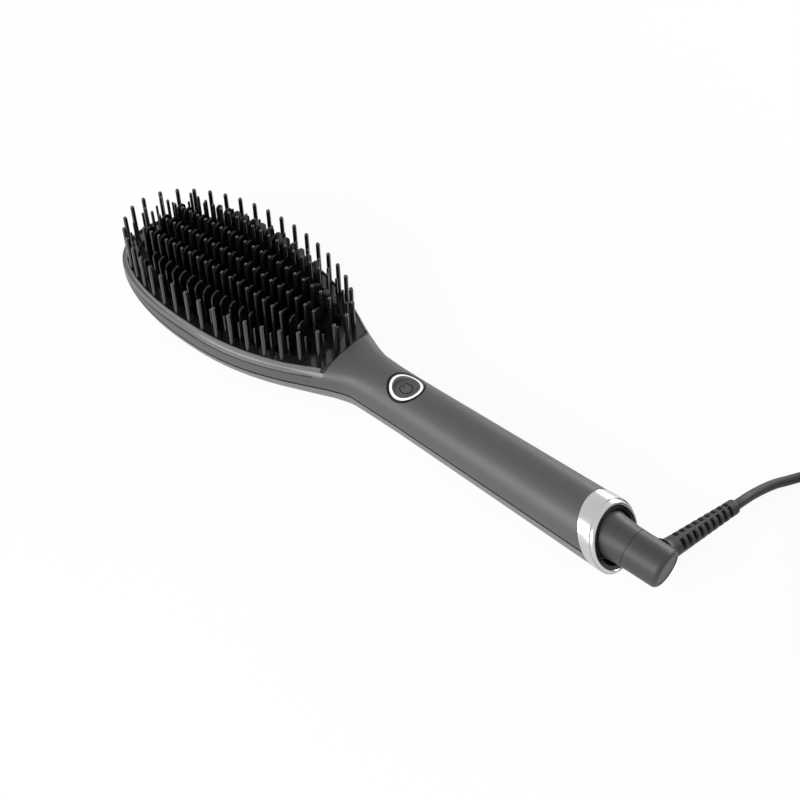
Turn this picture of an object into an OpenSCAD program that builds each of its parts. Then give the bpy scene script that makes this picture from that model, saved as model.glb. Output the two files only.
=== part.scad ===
// Heated straightening brush with a swivel mains lead.
// The frame stands on the brush's back: +X runs along the handle to the lead, +Z points out of
// the pins, Y = 0 is the plane of symmetry, and Z = 0 is the surface that the brush lies on.
// All sizes are in millimetres.

/* [Head] */
// Distance from the middle of the head to its front tip
head_front = 65.3; // [55:0.1:80]
// Length of the taper from the end of the pin field to the neck
head_taper = 11.5; // [9:0.1:16]
// Half of the head's width at the parting line
head_half_w = 33.3; // [28:0.1:40]
// Position along X where the head has narrowed to the neck
neck_x = -3.7; // [-6:0.1:-2]
// Height of the bezel's top above the handle's centre line
bezel_top = 9.5; // [8.6:0.1:10.5]
// Height of the edge where the bezel sits on the casing, above the centre line
bezel_foot = 7.5; // [6.8:0.1:8]
// How far the head's lengthwise crown has dropped at the tip
crown_drop = 6.9; // [5:0.1:7.5]
// Wall of both casing halves
wall = 2; // [1.6:0.1:2.4]

/* [Pins and heated fins] */
// Spacing of the pins along the brush
pin_pitch = 4.8; // [4:0.1:5.8]
// Spacing of the four inner rows across the brush
row_pitch = 9.55; // [9:0.05:11.5]
// Number of long pins round the edge
edge_pins = 38; // [30:2:44]
// Visible length of a long edge pin
long_pin_len = 18.8; // [14:0.1:23]
// Visible length of a short edge pin
short_pin_len = 13.2; // [10:0.1:16]
// Height of the inner pins' tips above the centre line at the crown
inner_tip = 32.6; // [29:0.1:36]
// Height of the inner fins' tops above the centre line
fin_top = 27.7; // [24:0.1:28.5]
// Thickness of a heated fin
fin_t = 0.8; // [0.6:0.1:1.6]
// Distance of the long pins' row inside the head's outline
pin_inset = 3.7; // [3.7:0.1:5]

/* [Handle] */
// Height of the handle's centre line above the surface
axis_h = 14.2; // [14:0.1:15]
// Radius of the neck behind the head
neck_r = 12; // [10.5:0.1:12.6]
// Radius of the handle where the end ring meets it
grip_r = 14; // [13:0.1:14]
// Position along X where the neck starts to widen into the grip
grip_x = 18; // [14:0.5:24]
// Position along X of the seam between casing and end ring, on the centre line
ring_x = 115.6; // [110:0.1:140]
// Width of the end ring along X
ring_w = 6.3; // [5.6:0.1:8]
// Slant of the end ring's seam from upright, in degrees
ring_tilt = 32; // [28:1:36]
// Slant of the end ring's lip from upright, in degrees
lip_tilt = 26; // [22:1:30]
// Outer radius of the end ring
ring_r = 14.2; // [14:0.1:14.2]

/* [Button] */
// Position of the button along X
button_x = 15.7; // [13:0.1:19]
// Height of the button cap's top above the centre line
button_top = 9.6; // [9.3:0.1:10]
// Radius of the button cap
button_r = 5.6; // [4.6:0.1:5.8]
// Outer radius of the light ring
light_r = 7; // [6.6:0.1:7]
// Travel of the button
button_travel = 0.5; // [0.3:0.1:0.6]

/* [Swivel and lead] */
// Distance from the end ring's seam to the seam between the fixed neck and the barrel
neck_len = 13.7; // [12.5:0.1:16]
// Length of the swivelling barrel
barrel_len = 16; // [15:0.1:19]
// Radius of the swivelling barrel
barrel_r = 8.5; // [8:0.1:9]
// Radius of the swivel's spindle
spindle_r = 4.6; // [4:0.1:5]
// Length of the strain relief from the barrel's centre line
relief_len = 47.7; // [40:0.1:52]
// Diameter of the mains lead
cord_d = 4.2; // [4:0.1:5]
// Turns of the lead in each layer of the coil
coil_turns = 3; // [2:1:4]
// Layers of the coil
coil_layers = 4; // [2:2:4]
// Mean radius of the coil
coil_r = 25; // [24:0.5:28]

/* [Hidden] */

$fn = 48;
far = 400;              // longer than anything it cuts
fit = 0.15;             // gap between pieces that are fixed to each other
joint_gap = 0.06;       // radial gap of a running fit
head_power = 2.1;       // roundness of the head's outline, where 2 is an ellipse
head_back = head_front + head_taper;
head_x = neck_x - head_back;            // the head's widest place
cut_x = head_x + head_front - 1.9;      // straight edge between the bezel and the neck's top
seam_x = ring_x + neck_len;
barrel_end = seam_x + barrel_len;

// ---- outline and sections of the casing -------------------------------------------------

grip_slope = (grip_r - neck_r) / (ring_x - grip_x);
crown_x = head_x + 0.11 * head_front;
crown_r = pow(crown_x - head_x + head_front, 2) / (2 * crown_drop);

// half width of the casing at the parting line, less an inset
function width(x, inset) =
    x < head_x ? (head_half_w - inset) * pow(max(0, 1 - pow((head_x - x) / (head_front - inset),
                                                        head_power)), 1 / head_power)
    : x < head_x + head_back ? neck_r - inset + (head_half_w - neck_r)
        * pow(1 - pow((x - head_x) / head_back, 2.3), 1.5)
    : x < grip_x ? neck_r - inset
    : neck_r - inset + grip_slope * (x - grip_x);

// how far the head's crown has dropped at x
function drop(x) = x < crown_x ? pow(x - crown_x, 2) / (2 * crown_r) : 0;

// height of the upper half and the exponent of its section, blended along the neck
function roof_h(x) = x < grip_x
    ? (lookup(x, [[cut_x - 18, 11], [cut_x, 10.6], [grip_x - 6, neck_r]]) - drop(x))
        * pow(max(0, 1 - pow(max(0, (head_x - x) / head_front), 24)), 1 / 12)
    : neck_r + grip_slope * (x - grip_x);
function roof_n(x) = lookup(x, [[head_x, 4.2], [cut_x - 18, 4], [cut_x, 2.9], [grip_x - 10, 2]]);
function roof_inner_n(x) = lookup(x, [[head_x + 20, 8], [cut_x - 1, 6], [cut_x + 1, 2.9],
                                      [grip_x - 10, 2]]);

// depth of the lower half: the back is level from the middle of the head towards the neck
back_over = 0.3;        // what the flat land takes off the back
function back_d(x) =
    x < head_x ? (axis_h + back_over) * pow(max(0, 1 - pow((head_x - x) / head_front, 2.6)), 1 / 2.6)
    : x < grip_x ? lookup(x, [[cut_x - 24, axis_h + back_over], [cut_x - 8, neck_r + 1.5],
                              [cut_x + 6, neck_r + 0.4], [grip_x - 10, neck_r]])
    : neck_r + grip_slope * (x - grip_x);
// depth of the back at a place off the centre line
function back_at(x, y) = back_d(x) * sqrt(max(0, 1 - pow(y / width(x, 0), 2)));

// half width of the upper skin at a height above the centre line
function skin(x, z) = width(x, 0)
    * pow(max(0, 1 - pow(min(1, z / max(0.1, roof_h(x))), roof_n(x))), 1 / roof_n(x));

// stations hold the X of the outer and of the inner skin, from the tip to the grip
tip_steps = 11;
back_steps = 11;
stations = concat(
    [for (i = [0:tip_steps - 1]) let (a = 4 + 86 * pow(i / tip_steps, 1.2))
        [head_x - head_front * cos(a), head_x - (head_front - wall) * cos(a)]],
    [for (i = [0:back_steps]) let (x = head_x + head_back * i / back_steps) [x, x]],
    [[grip_x - 12, grip_x - 12], [grip_x, grip_x]]);
arc_steps = 14;
rim = 0.08;             // half of the dark gap at the parting line

// one half section, shrunk by inset; up is 1 for the roof and -1 for the back
function section(x, inset, up) =
    let (w = max(0.4, width(x, inset)),
         h = max(0.4, (up > 0 ? roof_h(x) : back_d(x)) - inset),
         n = up < 0 ? 2 : inset > 0 ? roof_inner_n(x) : roof_n(x))
    [for (j = [0:arc_steps]) let (a = 180 * j / arc_steps)
        [x, w * sign(cos(a)) * pow(abs(cos(a)), 2 / n), up * (rim + (h - rim) * pow(sin(a), 2 / n))]];

// the last half section lies in the slanted seam of the end ring
function seam_section(inset, up) = [for (j = [0:arc_steps])
    let (a = 180 * j / arc_steps,
         r = (grip_r - inset) / (1 + up * grip_slope * sin(a) * tan(ring_tilt)),
         z = up * (rim + (r - rim) * sin(a)))
    [ring_x - fit - z * tan(ring_tilt), r * cos(a), z]];

function flip(list) = [for (i = [len(list) - 1:-1:0]) list[i]];

// closed solid of one casing half: the outer skin, the inner skin and the rim between them
module casing_shell(up) {
    m = arc_steps + 1;
    ring = 2 * m;
    k = len(stations) + 1;
    points = concat(
        [for (s = stations) each concat(section(s[0], 0, up), flip(section(s[1], wall, up)))],
        concat(seam_section(0, up), flip(seam_section(wall, up))));
    sides = [for (i = [0:k - 2], j = [0:ring - 1])
        let (a = i * ring + j, b = i * ring + (j + 1) % ring)
        each [[a, b, b + ring], [a, b + ring, a + ring]]];
    tip = [[for (j = [m - 1:-1:0]) j], [for (j = [ring - 1:-1:m]) j], [m, m - 1, 0, ring - 1]];
    seam = [for (j = [0:m - 2]) let (a = (k - 1) * ring)
        [a + j, a + j + 1, a + ring - 2 - j, a + ring - 1 - j]];
    faces = concat(sides, tip, seam);
    translate([0, 0, axis_h])
        polyhedron(points, up < 0 ? faces : [for (f = faces) flip(f)], convexity = 6);
}

// everything on the handle's side of the slanted plane that crosses the centre line at x
module before_slant(x, tilt) {
    translate([x, 0, axis_h]) rotate([0, -tilt, 0])
        translate([-far, -far / 2, -far / 2]) cube([far, far, far]);
}

// band between two heights above the centre line that follows the head's crown, up to x_end
crown_steps = 12;
module crown_band(low, high, x_end) {
    front = head_x - head_front - 2;
    xs = [for (i = [0:crown_steps]) front + (crown_x - front) * i / crown_steps];
    edge = function (level) [for (x = xs) [x, level - drop(x)]];
    translate([0, 100, axis_h]) rotate([90, 0, 0]) linear_extrude(200)
        polygon(concat(edge(low), [[x_end, low], [x_end, high]], flip(edge(high))));
}

// outline of the pin field, inset from the skin; the back follows the casing's own outline
field_steps = 14;
field_shift = head_half_w - skin(head_x, bezel_foot);
function field_y(x, inset) = x < head_x ? width(x, inset) : skin(x, bezel_foot) - inset + field_shift;
function field_side(inset, x_end) = concat(
    [for (i = [0:field_steps]) let (x = head_x - (head_front - inset) * cos(90 * i / field_steps))
        [x, width(x, inset)]],
    [for (i = [1:field_steps]) let (x = head_x + (x_end - head_x) * i / field_steps)
        [x, field_y(x, inset)]]);
function field(inset, x_end) = let (side = field_side(inset, x_end))
    concat([for (i = [1:len(side) - 1]) side[i]],
           [for (i = [len(side) - 1:-1:0]) [side[i][0], -side[i][1]]]);

// oval inside the head, symmetric front to back
function oval(inset, steps) = [for (i = [0:steps - 1])
    let (a = 360 * i / steps, c = cos(a), s = sin(a), q = 2 / head_power)
    [head_x + (head_front - inset) * sign(c) * pow(abs(c), q),
     (head_half_w - inset) * sign(s) * pow(abs(s), q)]];

module upright(outline) {
    translate([0, 0, -20]) linear_extrude(100) polygon(outline);
}

// ---- places that pieces share ------------------------------------------------------------

frame_inset = 3.5;                      // edge of the pin frames
land_inset = 2.75;                      // edge of the raised land inside the bezel
plate_inset = 8.1;                      // edge of the heated plate
land_top = 8.5;                         // top of the pin frame inside the bezel
plate_low = 4.6;                        // underside of the heated plate
plate_t = 2;
carrier_low = 2.2;                      // underside of the inner pins' carrier
carrier_t = 2.3;
boss_r = 3.2;
boss_places_x = [-0.3, 0.475];          // the head's bosses, in shares of its front length
inner_r = 0.8;                          // inner pins at their foot
// the head's bosses stand a little inside its wall, and clear of the outer inner rows
function boss_y(x) = max(width(x, 0) - 8.4, 1.5 * row_pitch + inner_r + boss_r + 0.3);
// half width of the carrier and of what lies under it, which reach the bosses near the neck
stack_half_w = max(1.5 * row_pitch + 3.1,
                   boss_y(head_x + boss_places_x[1] * head_front) - boss_r - 0.42);
carrier_front = head_x - 0.86 * head_front;
shield_front = head_x - 0.64 * head_front;
row_zero = head_x - 9.5 * pin_pitch;
plate_screws = [for (k = [11.5, 18.5]) [row_zero + k * pin_pitch, 0]];
stack_back = max(head_x + 0.74 * head_front, plate_screws[1][0] + 3.5);
element_x = [crown_x + 2, crown_x + 0.58 * head_front];
element_w = 6.4;
bed_end = cut_x - 1.5;                  // straight end of the pin field
// first and last pin of each inner row, counted in pitches from the row's zero
inner_rows = [[0.5, -1, 20], [1.5, 1, 18]];

screw_r = 1.3;
boss_places = concat([for (k = boss_places_x, s = [-1, 1]) let (x = head_x + k * head_front)
                         [x, s * boss_y(x)]],
                     [for (x = [neck_x + 0.7, ring_x - 25.6]) [x, 0]]);
function boss_foot(p) = -back_at(p[0], abs(p[1]) + boss_r) + 0.2;
function boss_top(p) = p[1] != 0 ? bezel_foot - 3.6 - drop(p[0]) : roof_h(p[0]) - 1.2;
function screw_seat(p) = boss_foot(p) + 2.4;

board_x = [neck_x + 6.2, ring_x - 31.6];
board_top = -1;
board_t = 1.6;
board_screws_x = [button_x + light_r + 4, board_x[1] - 7];
post_r = 2.6;

// ---- casing --------------------------------------------------------------------------------

module upper_casing() color("#5a5a5e") {
    difference() {
        union() {
            casing_shell(1);
            for (p = boss_places) translate([p[0], p[1], axis_h + rim]) {
                cylinder(r = boss_r, h = boss_top(p) - rim);
                // the head's bosses hang from ribs on the side wall
                if (p[1] != 0) translate([-1.2, p[1] > 0 ? 0 : -7.4, 0])
                    cube([2.4, 7.4, boss_top(p) - rim]);
            }
        }
        crown_band(bezel_foot - fit, 40, cut_x);
        translate([button_x, 0, axis_h]) cylinder(r = button_wall_r + fit, h = 40);
        for (p = boss_places) translate([p[0], p[1], axis_h - 1])
            cylinder(r = screw_r, h = boss_top(p) - 0.2);
    }
}

module lower_casing() color("#6b6b70") {
    difference() {
        union() {
            casing_shell(-1);
            for (p = boss_places) translate([p[0], p[1], axis_h + boss_foot(p)])
                cylinder(r = boss_r, h = -boss_foot(p) - rim);
            // posts under the control board
            for (x = board_screws_x) translate([x, 0, axis_h - neck_r + 1])
                cylinder(r = post_r, h = neck_r - 1 + board_top - board_t - 0.05);
        }
        translate([-far / 2, -far / 2, -10]) cube([far, far, 10]);
        for (p = boss_places) {
            translate([p[0], p[1], -1]) cylinder(r = screw_r + 0.2, h = axis_h + 2);
            translate([p[0], p[1], -1]) cylinder(r = 2.4, h = axis_h + screw_seat(p) + 1);
        }
        for (x = board_screws_x) translate([x, 0, axis_h + board_top - board_t - 7])
            cylinder(r = 0.9, h = 10);
    }
}

module casing_screws() color("silver") {
    for (p = boss_places) translate([p[0], p[1], axis_h]) {
        translate([0, 0, screw_seat(p) - 1.85]) cylinder(r = 2.2, h = 1.8);
        translate([0, 0, screw_seat(p) - 0.1])
            cylinder(r = screw_r - 0.06, h = boss_top(p) - 1.6 - screw_seat(p));
    }
}

// a thin bright rim: closed ring whose four edges follow the skin and the pin field
module head_bezel() color("#4b4b50") {
    x_end = cut_x - fit;
    inner_end = bed_end + fit;
    inner = land_inset - fit;
    loop = function (inset, end, level)
        let (half = [for (p = field_side(inset, end)) [p[0], p[1], level - drop(p[0])]])
        concat(half, [for (i = [len(half) - 1:-1:1]) [half[i][0], -half[i][1], half[i][2]]]);
    loops = [loop(field_shift, x_end, bezel_foot), loop(field_shift + 0.2, x_end, bezel_top - 0.3),
             loop(field_shift + 0.4, x_end - 0.3, bezel_top), loop(inner, inner_end, bezel_top),
             loop(inner, inner_end, bezel_foot)];
    c = len(loops[0]);
    faces = [for (k = [0:4], i = [0:c - 1])
        let (a = k * c + i, b = k * c + (i + 1) % c, d = ((k + 1) % 5) * c)
        each [[a, b, d + i], [b, d + (i + 1) % c, d + i]]];
    translate([0, 0, axis_h]) polyhedron([for (l = loops) each l], faces, convexity = 6);
}

// ---- pins and heated parts ----------------------------------------------------------------

module pin(x, y, base, tip, r_base, r_tip) {
    translate([x, y, axis_h + base]) cylinder(h = tip - base - r_tip, r1 = r_base, r2 = r_tip);
    translate([x, y, axis_h + tip - r_tip]) sphere(r_tip);
}

// places spread evenly along an oval, found by walking its length
walk_steps = 240;
function walk(pts, i = 0, sum = 0, out = []) =
    i > len(pts) ? out
    : walk(pts, i + 1, sum + (i < len(pts) ? norm(pts[(i + 1) % len(pts)] - pts[i]) : 0),
           concat(out, [[sum, i]]));
function spread(inset, count, shift) =
    let (pts = oval(inset, walk_steps), table = walk(pts), total = table[walk_steps][0])
    [for (i = [0:count - 1])
        let (k = lookup((i + shift) * total / count, table), a = floor(k), b = k - a)
        pts[a % walk_steps] * (1 - b) + pts[(a + 1) % walk_steps] * b];
// the long row stays inside the bezel where the field narrows towards the neck
long_places = [for (p = spread(pin_inset, edge_pins, 0.5)) let (x = min(p[0], bed_end - 1.15))
    [x, sign(p[1]) * min(abs(p[1]), field_y(x, pin_inset + 0.1))]];
short_places = spread(pin_inset + 2.6, edge_pins, 0);
short_r = 0.66;

module long_pin_frame() color("#1c1c1e") {
    difference() {
        union() {
            intersection() {
                upright(field(frame_inset, bed_end));
                crown_band(bezel_foot - 2.1, bezel_foot - 0.1, far);
            }
            intersection() {
                upright(field(land_inset + 0.1, bed_end - 0.1));
                crown_band(bezel_foot - 0.12, land_top, far);
            }
        }
        upright(oval(plate_inset - 0.25, 64));
        for (p = short_places) translate([p[0], p[1], 0]) cylinder(r = short_r + 0.18, h = 60);
    }
    for (p = long_places)
        pin(p[0], p[1], land_top - drop(p[0]) - 0.6, land_top - drop(p[0]) + long_pin_len,
            1.02, 0.93);
}

module short_pin_frame() color("#1c1c1e") {
    difference() {
        intersection() {
            upright(field(frame_inset + 0.6, bed_end - 0.4));
            crown_band(bezel_foot - 3.2, bezel_foot - 2.2, far);
        }
        upright(oval(plate_inset - 0.25, 64));
    }
    for (p = short_places)
        pin(p[0], p[1], bezel_foot - 2.7 - drop(p[0]), land_top - drop(p[0]) + short_pin_len,
            short_r, 0.56);
}

function inner_tip_z(x, y) =
    inner_tip - pow(x - crown_x + 0.5, 2) * 0.00158 - y * y * 0.00306;
inner_places = [for (r = inner_rows, s = [-1, 1], k = [r[1]:r[2]])
    let (x = row_zero + k * pin_pitch, y = r[0] * row_pitch)
    if (plate_limit(x) > y + 2.5) [x, s * y]];

module element_windows(low, high, gap) {
    for (s = [-1, 1])
        translate([element_x[0] - gap, s * row_pitch - element_w / 2 - gap, axis_h + low])
            cube([element_x[1] - element_x[0] + 2 * gap, element_w + 2 * gap, high - low]);
}

module heater_plate() color("#141414") {
    difference() {
        intersection() {
            upright(oval(plate_inset, 64));
            crown_band(plate_low, plate_low + plate_t, far);
        }
        for (p = inner_places) translate([p[0], p[1], 0]) cylinder(r = inner_r + 0.2, h = 60);
    }
    for (k = [-9:10]) let (x = head_x + k * pin_pitch)
        if (plate_limit(x) > row_pitch + 3.6) heated_fin(x);
    // blind bosses for the two fixing screws
    for (p = plate_screws) translate([p[0], p[1], axis_h + plate_low + plate_t - 0.5 - drop(p[0])])
        cylinder(r = 2, h = 1.6);
}

// one thin fin: a low web with a round-topped lobe in each gap between the rows
module heated_fin(x) {
    limit = plate_limit(x) - 1;
    side_y = 1.5 * row_pitch + 3.5;
    base = plate_low + 0.6 - drop(x);
    top = fin_top - pow(x - crown_x, 2) * 0.00158;
    translate([x - fin_t / 2, 0, axis_h]) rotate([90, 0, 90]) linear_extrude(fin_t) {
        web = min(limit, 22);
        translate([-web, base]) square([2 * web, 5]);
        for (y = [-row_pitch, 0, row_pitch]) fin_lobe(y, 2.5, base, top - abs(y) * 0.03);
        if (limit - side_y > 3) for (s = [-1, 1]) {
            w = (limit - side_y) / 2;
            fin_lobe(s * (side_y + w), w, base, top - 1.4);
        }
    }
}
module fin_lobe(y, r, base, top) {
    translate([y - r, base]) square([2 * r, top - base - r]);
    translate([y, top - r]) circle(r);
}
// half width of the heated plate at x
function plate_limit(x) = (head_half_w - plate_inset)
    * pow(max(0, 1 - pow(abs(x - head_x) / (head_front - plate_inset), head_power)),
          1 / head_power);

module boss_clearance() {
    for (p = boss_places) translate([p[0], p[1], 0]) cylinder(r = boss_r + 0.4, h = 80);
}

module centre_pin_carrier() color("#1c1c1e") {
    difference() {
        intersection() {
            upright(oval(plate_inset + 1, 64));
            crown_band(carrier_low, carrier_low + carrier_t, far);
            translate([carrier_front, -stack_half_w, 0])
                cube([stack_back + 6 - carrier_front, 2 * stack_half_w, 80]);
        }
        boss_clearance();
        element_windows(carrier_low - 1, carrier_low + carrier_t + 1, 0.3);
        for (p = plate_screws) translate([p[0], p[1], 0]) cylinder(r = 1.5, h = 60);
    }
    for (p = inner_places)
        pin(p[0], p[1], carrier_low + 1 - drop(p[0]), inner_tip_z(p[0], p[1]), inner_r, 0.68);
}

module heater_elements() color("#c9a227") element_windows(carrier_low + 0.1, plate_low - 0.1, 0);

clamp_top = carrier_low - 0.5;
module element_insulator() color("#d9a441") element_windows(clamp_top + 0.05, carrier_low + 0.05, 0.1);

module heater_clamp() color("silver") {
    difference() {
        intersection() {
            crown_band(clamp_top - 0.8, clamp_top, far);
            translate([plate_screws[0][0] - 5, -stack_half_w + 3, 0])
                cube([plate_screws[1][0] - plate_screws[0][0] + 10, 2 * stack_half_w - 6, 80]);
        }
        for (p = plate_screws) translate([p[0], p[1], 0]) cylinder(r = 1.5, h = 60);
    }
}

shield_top = clamp_top - 1.6;
module heat_shield() color("#cfc7b0") {
    difference() {
        intersection() {
            crown_band(shield_top - 0.6, shield_top, far);
            translate([shield_front, -stack_half_w, 0])
                cube([stack_back - shield_front, 2 * stack_half_w, 80]);
        }
        boss_clearance();
        for (p = plate_screws) translate([p[0], p[1], 0]) cylinder(r = 1.5, h = 60);
    }
    // spacers that hold the shield off the clamp
    for (p = plate_screws) translate([p[0], p[1], axis_h + shield_top - drop(p[0]) - 0.3])
        difference() {
            cylinder(r = 3, h = clamp_top - 0.8 - shield_top + 0.25);
            translate([0, 0, -1]) cylinder(r = 1.5, h = 20);
        }
}

module heater_screws() color("silver") {
    for (p = plate_screws) {
        foot = axis_h + shield_top - 0.65 - drop(p[0]);
        translate([p[0], p[1], foot - 1.4]) cylinder(r = 2.4, h = 1.4);
        translate([p[0], p[1], foot - 0.1]) cylinder(r = 1.2, h = plate_low - shield_top + 0.55);
    }
}

module thermistor() color("#b5651d") {
    translate([head_x + 2, 5, axis_h + shield_top - 0.6 - 1.55]) {
        sphere(1.5);
        for (s = [-0.7, 0.7]) translate([0, s, -0.2]) rotate([0, 90, 0])
            cylinder(r = 0.35, h = 16, $fn = 16);
    }
}

module thermal_fuse() color("#d8d8d8") {
    translate([head_x + 24, 9, axis_h + shield_top - 0.6 - 2.1]) rotate([0, 90, 0]) {
        cylinder(r = 2, h = 10, center = true);
        cylinder(r = 0.4, h = 22, center = true, $fn = 16);
    }
}

// ---- wires -----------------------------------------------------------------------------------

module wire(points) tube(smooth(points, 2), 0.7, 6, [0.1, 0.5, 0.86]);

lead_z = axis_h - 5;
module heater_leads() color("#b03030") {
    wire([[head_x + 36.2, 9, axis_h + shield_top - 2.7], [head_x + 40, 9, lead_z],
          [cut_x + 2, 4, lead_z], [cut_x + 18, 6.9, lead_z], [9, 6.9, lead_z],
          [9, 6, axis_h + board_top - board_t - 0.5]]);
    wire([[element_x[0] + 30, -row_pitch, axis_h + shield_top - 1.4],
          [element_x[0] + 30.8, -9, lead_z], [cut_x + 2, -4, lead_z], [cut_x + 18, -6.9, lead_z],
          [9, -6.9, lead_z], [9, -6, axis_h + board_top - board_t - 0.5]]);
}

// ---- controls -------------------------------------------------------------------------------

module control_board() color("#1f6b3a") {
    difference() {
        translate([board_x[0], -8, axis_h + board_top - board_t])
            cube([board_x[1] - board_x[0], 16, board_t]);
        for (x = board_screws_x) translate([x, 0, 0]) cylinder(r = 1.25, h = 40);
    }
}

module power_components() color("#35506b") {
    translate([board_x[1], 0, axis_h + board_top]) {
        translate([-8, -5.5, 0]) cylinder(r = 2.5, h = 8);
        translate([-24, -6.5, 0]) cube([12, 6, 7.5]);
        translate([-24, 1.5, 0]) cube([10, 4.6, 8.5]);
        translate([-4.5, 0.8, 0]) cube([6, 6, 4]);
    }
}

module control_components() color("#2b2b2b") {
    translate([0, 0, axis_h + board_top]) {
        translate([30, -3, 0]) cube([7, 6, 1.4]);
        translate([42, -5, 0]) cube([4, 3, 1]);
        translate([42, 2, 0]) cube([4, 3, 1]);
        translate([50, -2.5, 0]) cube([5, 5, 2.2]);
    }
}

module board_screws() color("silver") {
    for (x = board_screws_x) translate([x, 0, axis_h + board_top]) {
        cylinder(r = 2.1, h = 1.3);
        translate([0, 0, -7]) cylinder(r = 0.86, h = 7.1);
    }
}

switch_top = 2.6;
plunger_top = switch_top + button_travel + 0.4;
module tact_switch() color("#2a2a2a") {
    translate([button_x, 0, axis_h]) difference() {
        translate([-3, -3, board_top]) cube([6, 6, switch_top - board_top]);
        translate([0, 0, switch_top - 2.2]) cylinder(r = 1.75, h = 5);
    }
}

module switch_plunger() color("#e8e8e8") {
    translate([button_x, 0, axis_h + switch_top - 1.5])
        cylinder(r = 1.7, h = plunger_top - switch_top + 1.5);
}

button_wall_r = light_r + 1;
light_leg_x = light_r - 0.65;
module status_leds() color("white") {
    for (s = [-1, 1]) translate([button_x + s * light_leg_x, 0, axis_h + board_top])
        translate([-0.8, -0.8, 0]) cube([1.6, 1.6, 0.8]);
}

floor_low = 4.6;
floor_t = 1.2;
module button_housing() color("#101012") {
    intersection() {
        translate([button_x, 0, axis_h]) difference() {
            translate([0, 0, floor_low]) cylinder(r = button_wall_r, h = 20);
            translate([0, 0, floor_low + floor_t]) cylinder(r = light_r + fit, h = 20);
            cylinder(r = 1.75, h = 30);
            for (s = [-1, 1]) translate([s * light_leg_x, 0, 0]) cylinder(r = 0.72, h = 30);
        }
        along_x(0) cylinder(r = neck_r + 0.05, h = 60);
    }
}

module light_ring() color("white") {
    // its top follows the handle's round top, a little below it
    intersection() {
        translate([button_x, 0, axis_h]) difference() {
            translate([0, 0, floor_low + floor_t + 0.02]) cylinder(r = light_r, h = 20);
            cylinder(r = button_r + joint_gap, h = 30);
        }
        along_x(0) cylinder(r = neck_r - 0.4, h = 60);
    }
    for (s = [-1, 1]) translate([button_x + s * light_leg_x, 0, axis_h + board_top + 0.85])
        cylinder(r = 0.6, h = floor_low + floor_t + 1 - board_top - 0.85);
}

cap_low = button_top - 2.6;
mark_r = 2.9;
mark_line = 0.5;
mark_gap = 1.9;
module power_button() color("#4a4a4e") {
    translate([button_x, 0, axis_h]) difference() {
        union() {
            translate([0, 0, cap_low]) cylinder(r = button_r, h = button_top - cap_low);
            translate([0, 0, plunger_top + 0.01]) cylinder(r = 1.6, h = cap_low - plunger_top + 0.5);
        }
        // a plain power mark: a ring with a gap that faces the head, and a bar in the gap
        translate([0, 0, button_top - 0.25]) linear_extrude(1) {
            difference() {
                circle(mark_r);
                circle(mark_r - mark_line);
                translate([-far, -mark_gap / 2]) square([far, mark_gap]);
            }
            translate([-mark_r - 0.35, -mark_line / 2]) square([mark_r - 0.25, mark_line]);
        }
    }
}

// ---- end ring and swivel --------------------------------------------------------------------

module along_x(x) {
    translate([x, 0, axis_h]) rotate([0, 90, 0]) children();
}

ring_bore = 11.4;
lip_w = 1.6;
lip_r = ring_r - 0.8;
mouth_r = ring_bore + 0.8;
mouth_depth = 1.6;

module end_ring() color("#d8d8da") {
    difference() {
        union() {
            intersection() {
                along_x(ring_x - 20) cylinder(r = ring_r, h = 50, $fn = 96);
                before_slant(ring_x + ring_w - lip_w, lip_tilt);
            }
            intersection() {
                along_x(ring_x - 20) cylinder(r = lip_r, h = 50, $fn = 96);
                before_slant(ring_x + ring_w, lip_tilt);
            }
        }
        before_slant(ring_x, ring_tilt);
        along_x(ring_x - 30) cylinder(r = ring_bore, h = 80, $fn = 96);
        beyond_slant(mouth_r, mouth_depth);
    }
}

// round space of radius r that starts at a depth below the ring's lip
module beyond_slant(r, depth) {
    difference() {
        along_x(ring_x - 30) cylinder(r = r, h = 80, $fn = 96);
        before_slant(ring_x + ring_w - depth, lip_tilt);
    }
}

housing_x = ring_x - 10.4;
neck_base_r = 9.6;
dish_depth = 5.5;       // of the wider bore that shows round the neck
module swivel_housing() color("#141416") {
    difference() {
        union() {
            along_x(housing_x) cylinder(r = ring_bore - 0.1, h = 40);
            // flange in the ring's mouth
            beyond_slant(mouth_r - 0.1, mouth_depth - 0.05);
        }
        beyond_slant(50, 0.5);
        beyond_slant(ring_bore - 0.8, dish_depth);
        along_x(housing_x + 4.5) cylinder(r = neck_base_r + 0.35, h = 60);
        along_x(housing_x - 1) cylinder(r = slip_r + 1.6, h = 8);
    }
}

// fixed, bell-shaped neck; the spindle runs in its bore
module swivel_neck() color("#3a3a3c") {
    flare = [for (i = [0:8]) let (t = i / 8)
        [barrel_r + (neck_base_r - barrel_r) * pow(1 - t, 1.8), seam_x - 11 + 11 * t]];
    along_x(0) rotate_extrude($fn = 96)
        polygon(concat([[spindle_r + joint_gap, housing_x + 4.7], [neck_base_r, housing_x + 4.7]],
                       flare, [[spindle_r + joint_gap, seam_x]]));
}

slip_r = 5.6;
slip_x = [housing_x - 4.8, housing_x - 1.8];
module slip_rings() color("#c8a24a") {
    for (x = slip_x) along_x(x) difference() {
        cylinder(r = slip_r, h = 1.8);
        translate([0, 0, -1]) cylinder(r = spindle_r - 0.01, h = 10);
    }
}

module contact_brushes() color("#b87333") {
    for (x = slip_x) translate([x + 0.4, -1, axis_h - slip_r - 0.05]) {
        translate([0, 0, -3.2]) cube([1, 2, 3.2]);
    }
    translate([slip_x[0] - 1, -2.5, axis_h - slip_r - 4.4]) cube([5.6, 5, 1.2]);
}

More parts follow.
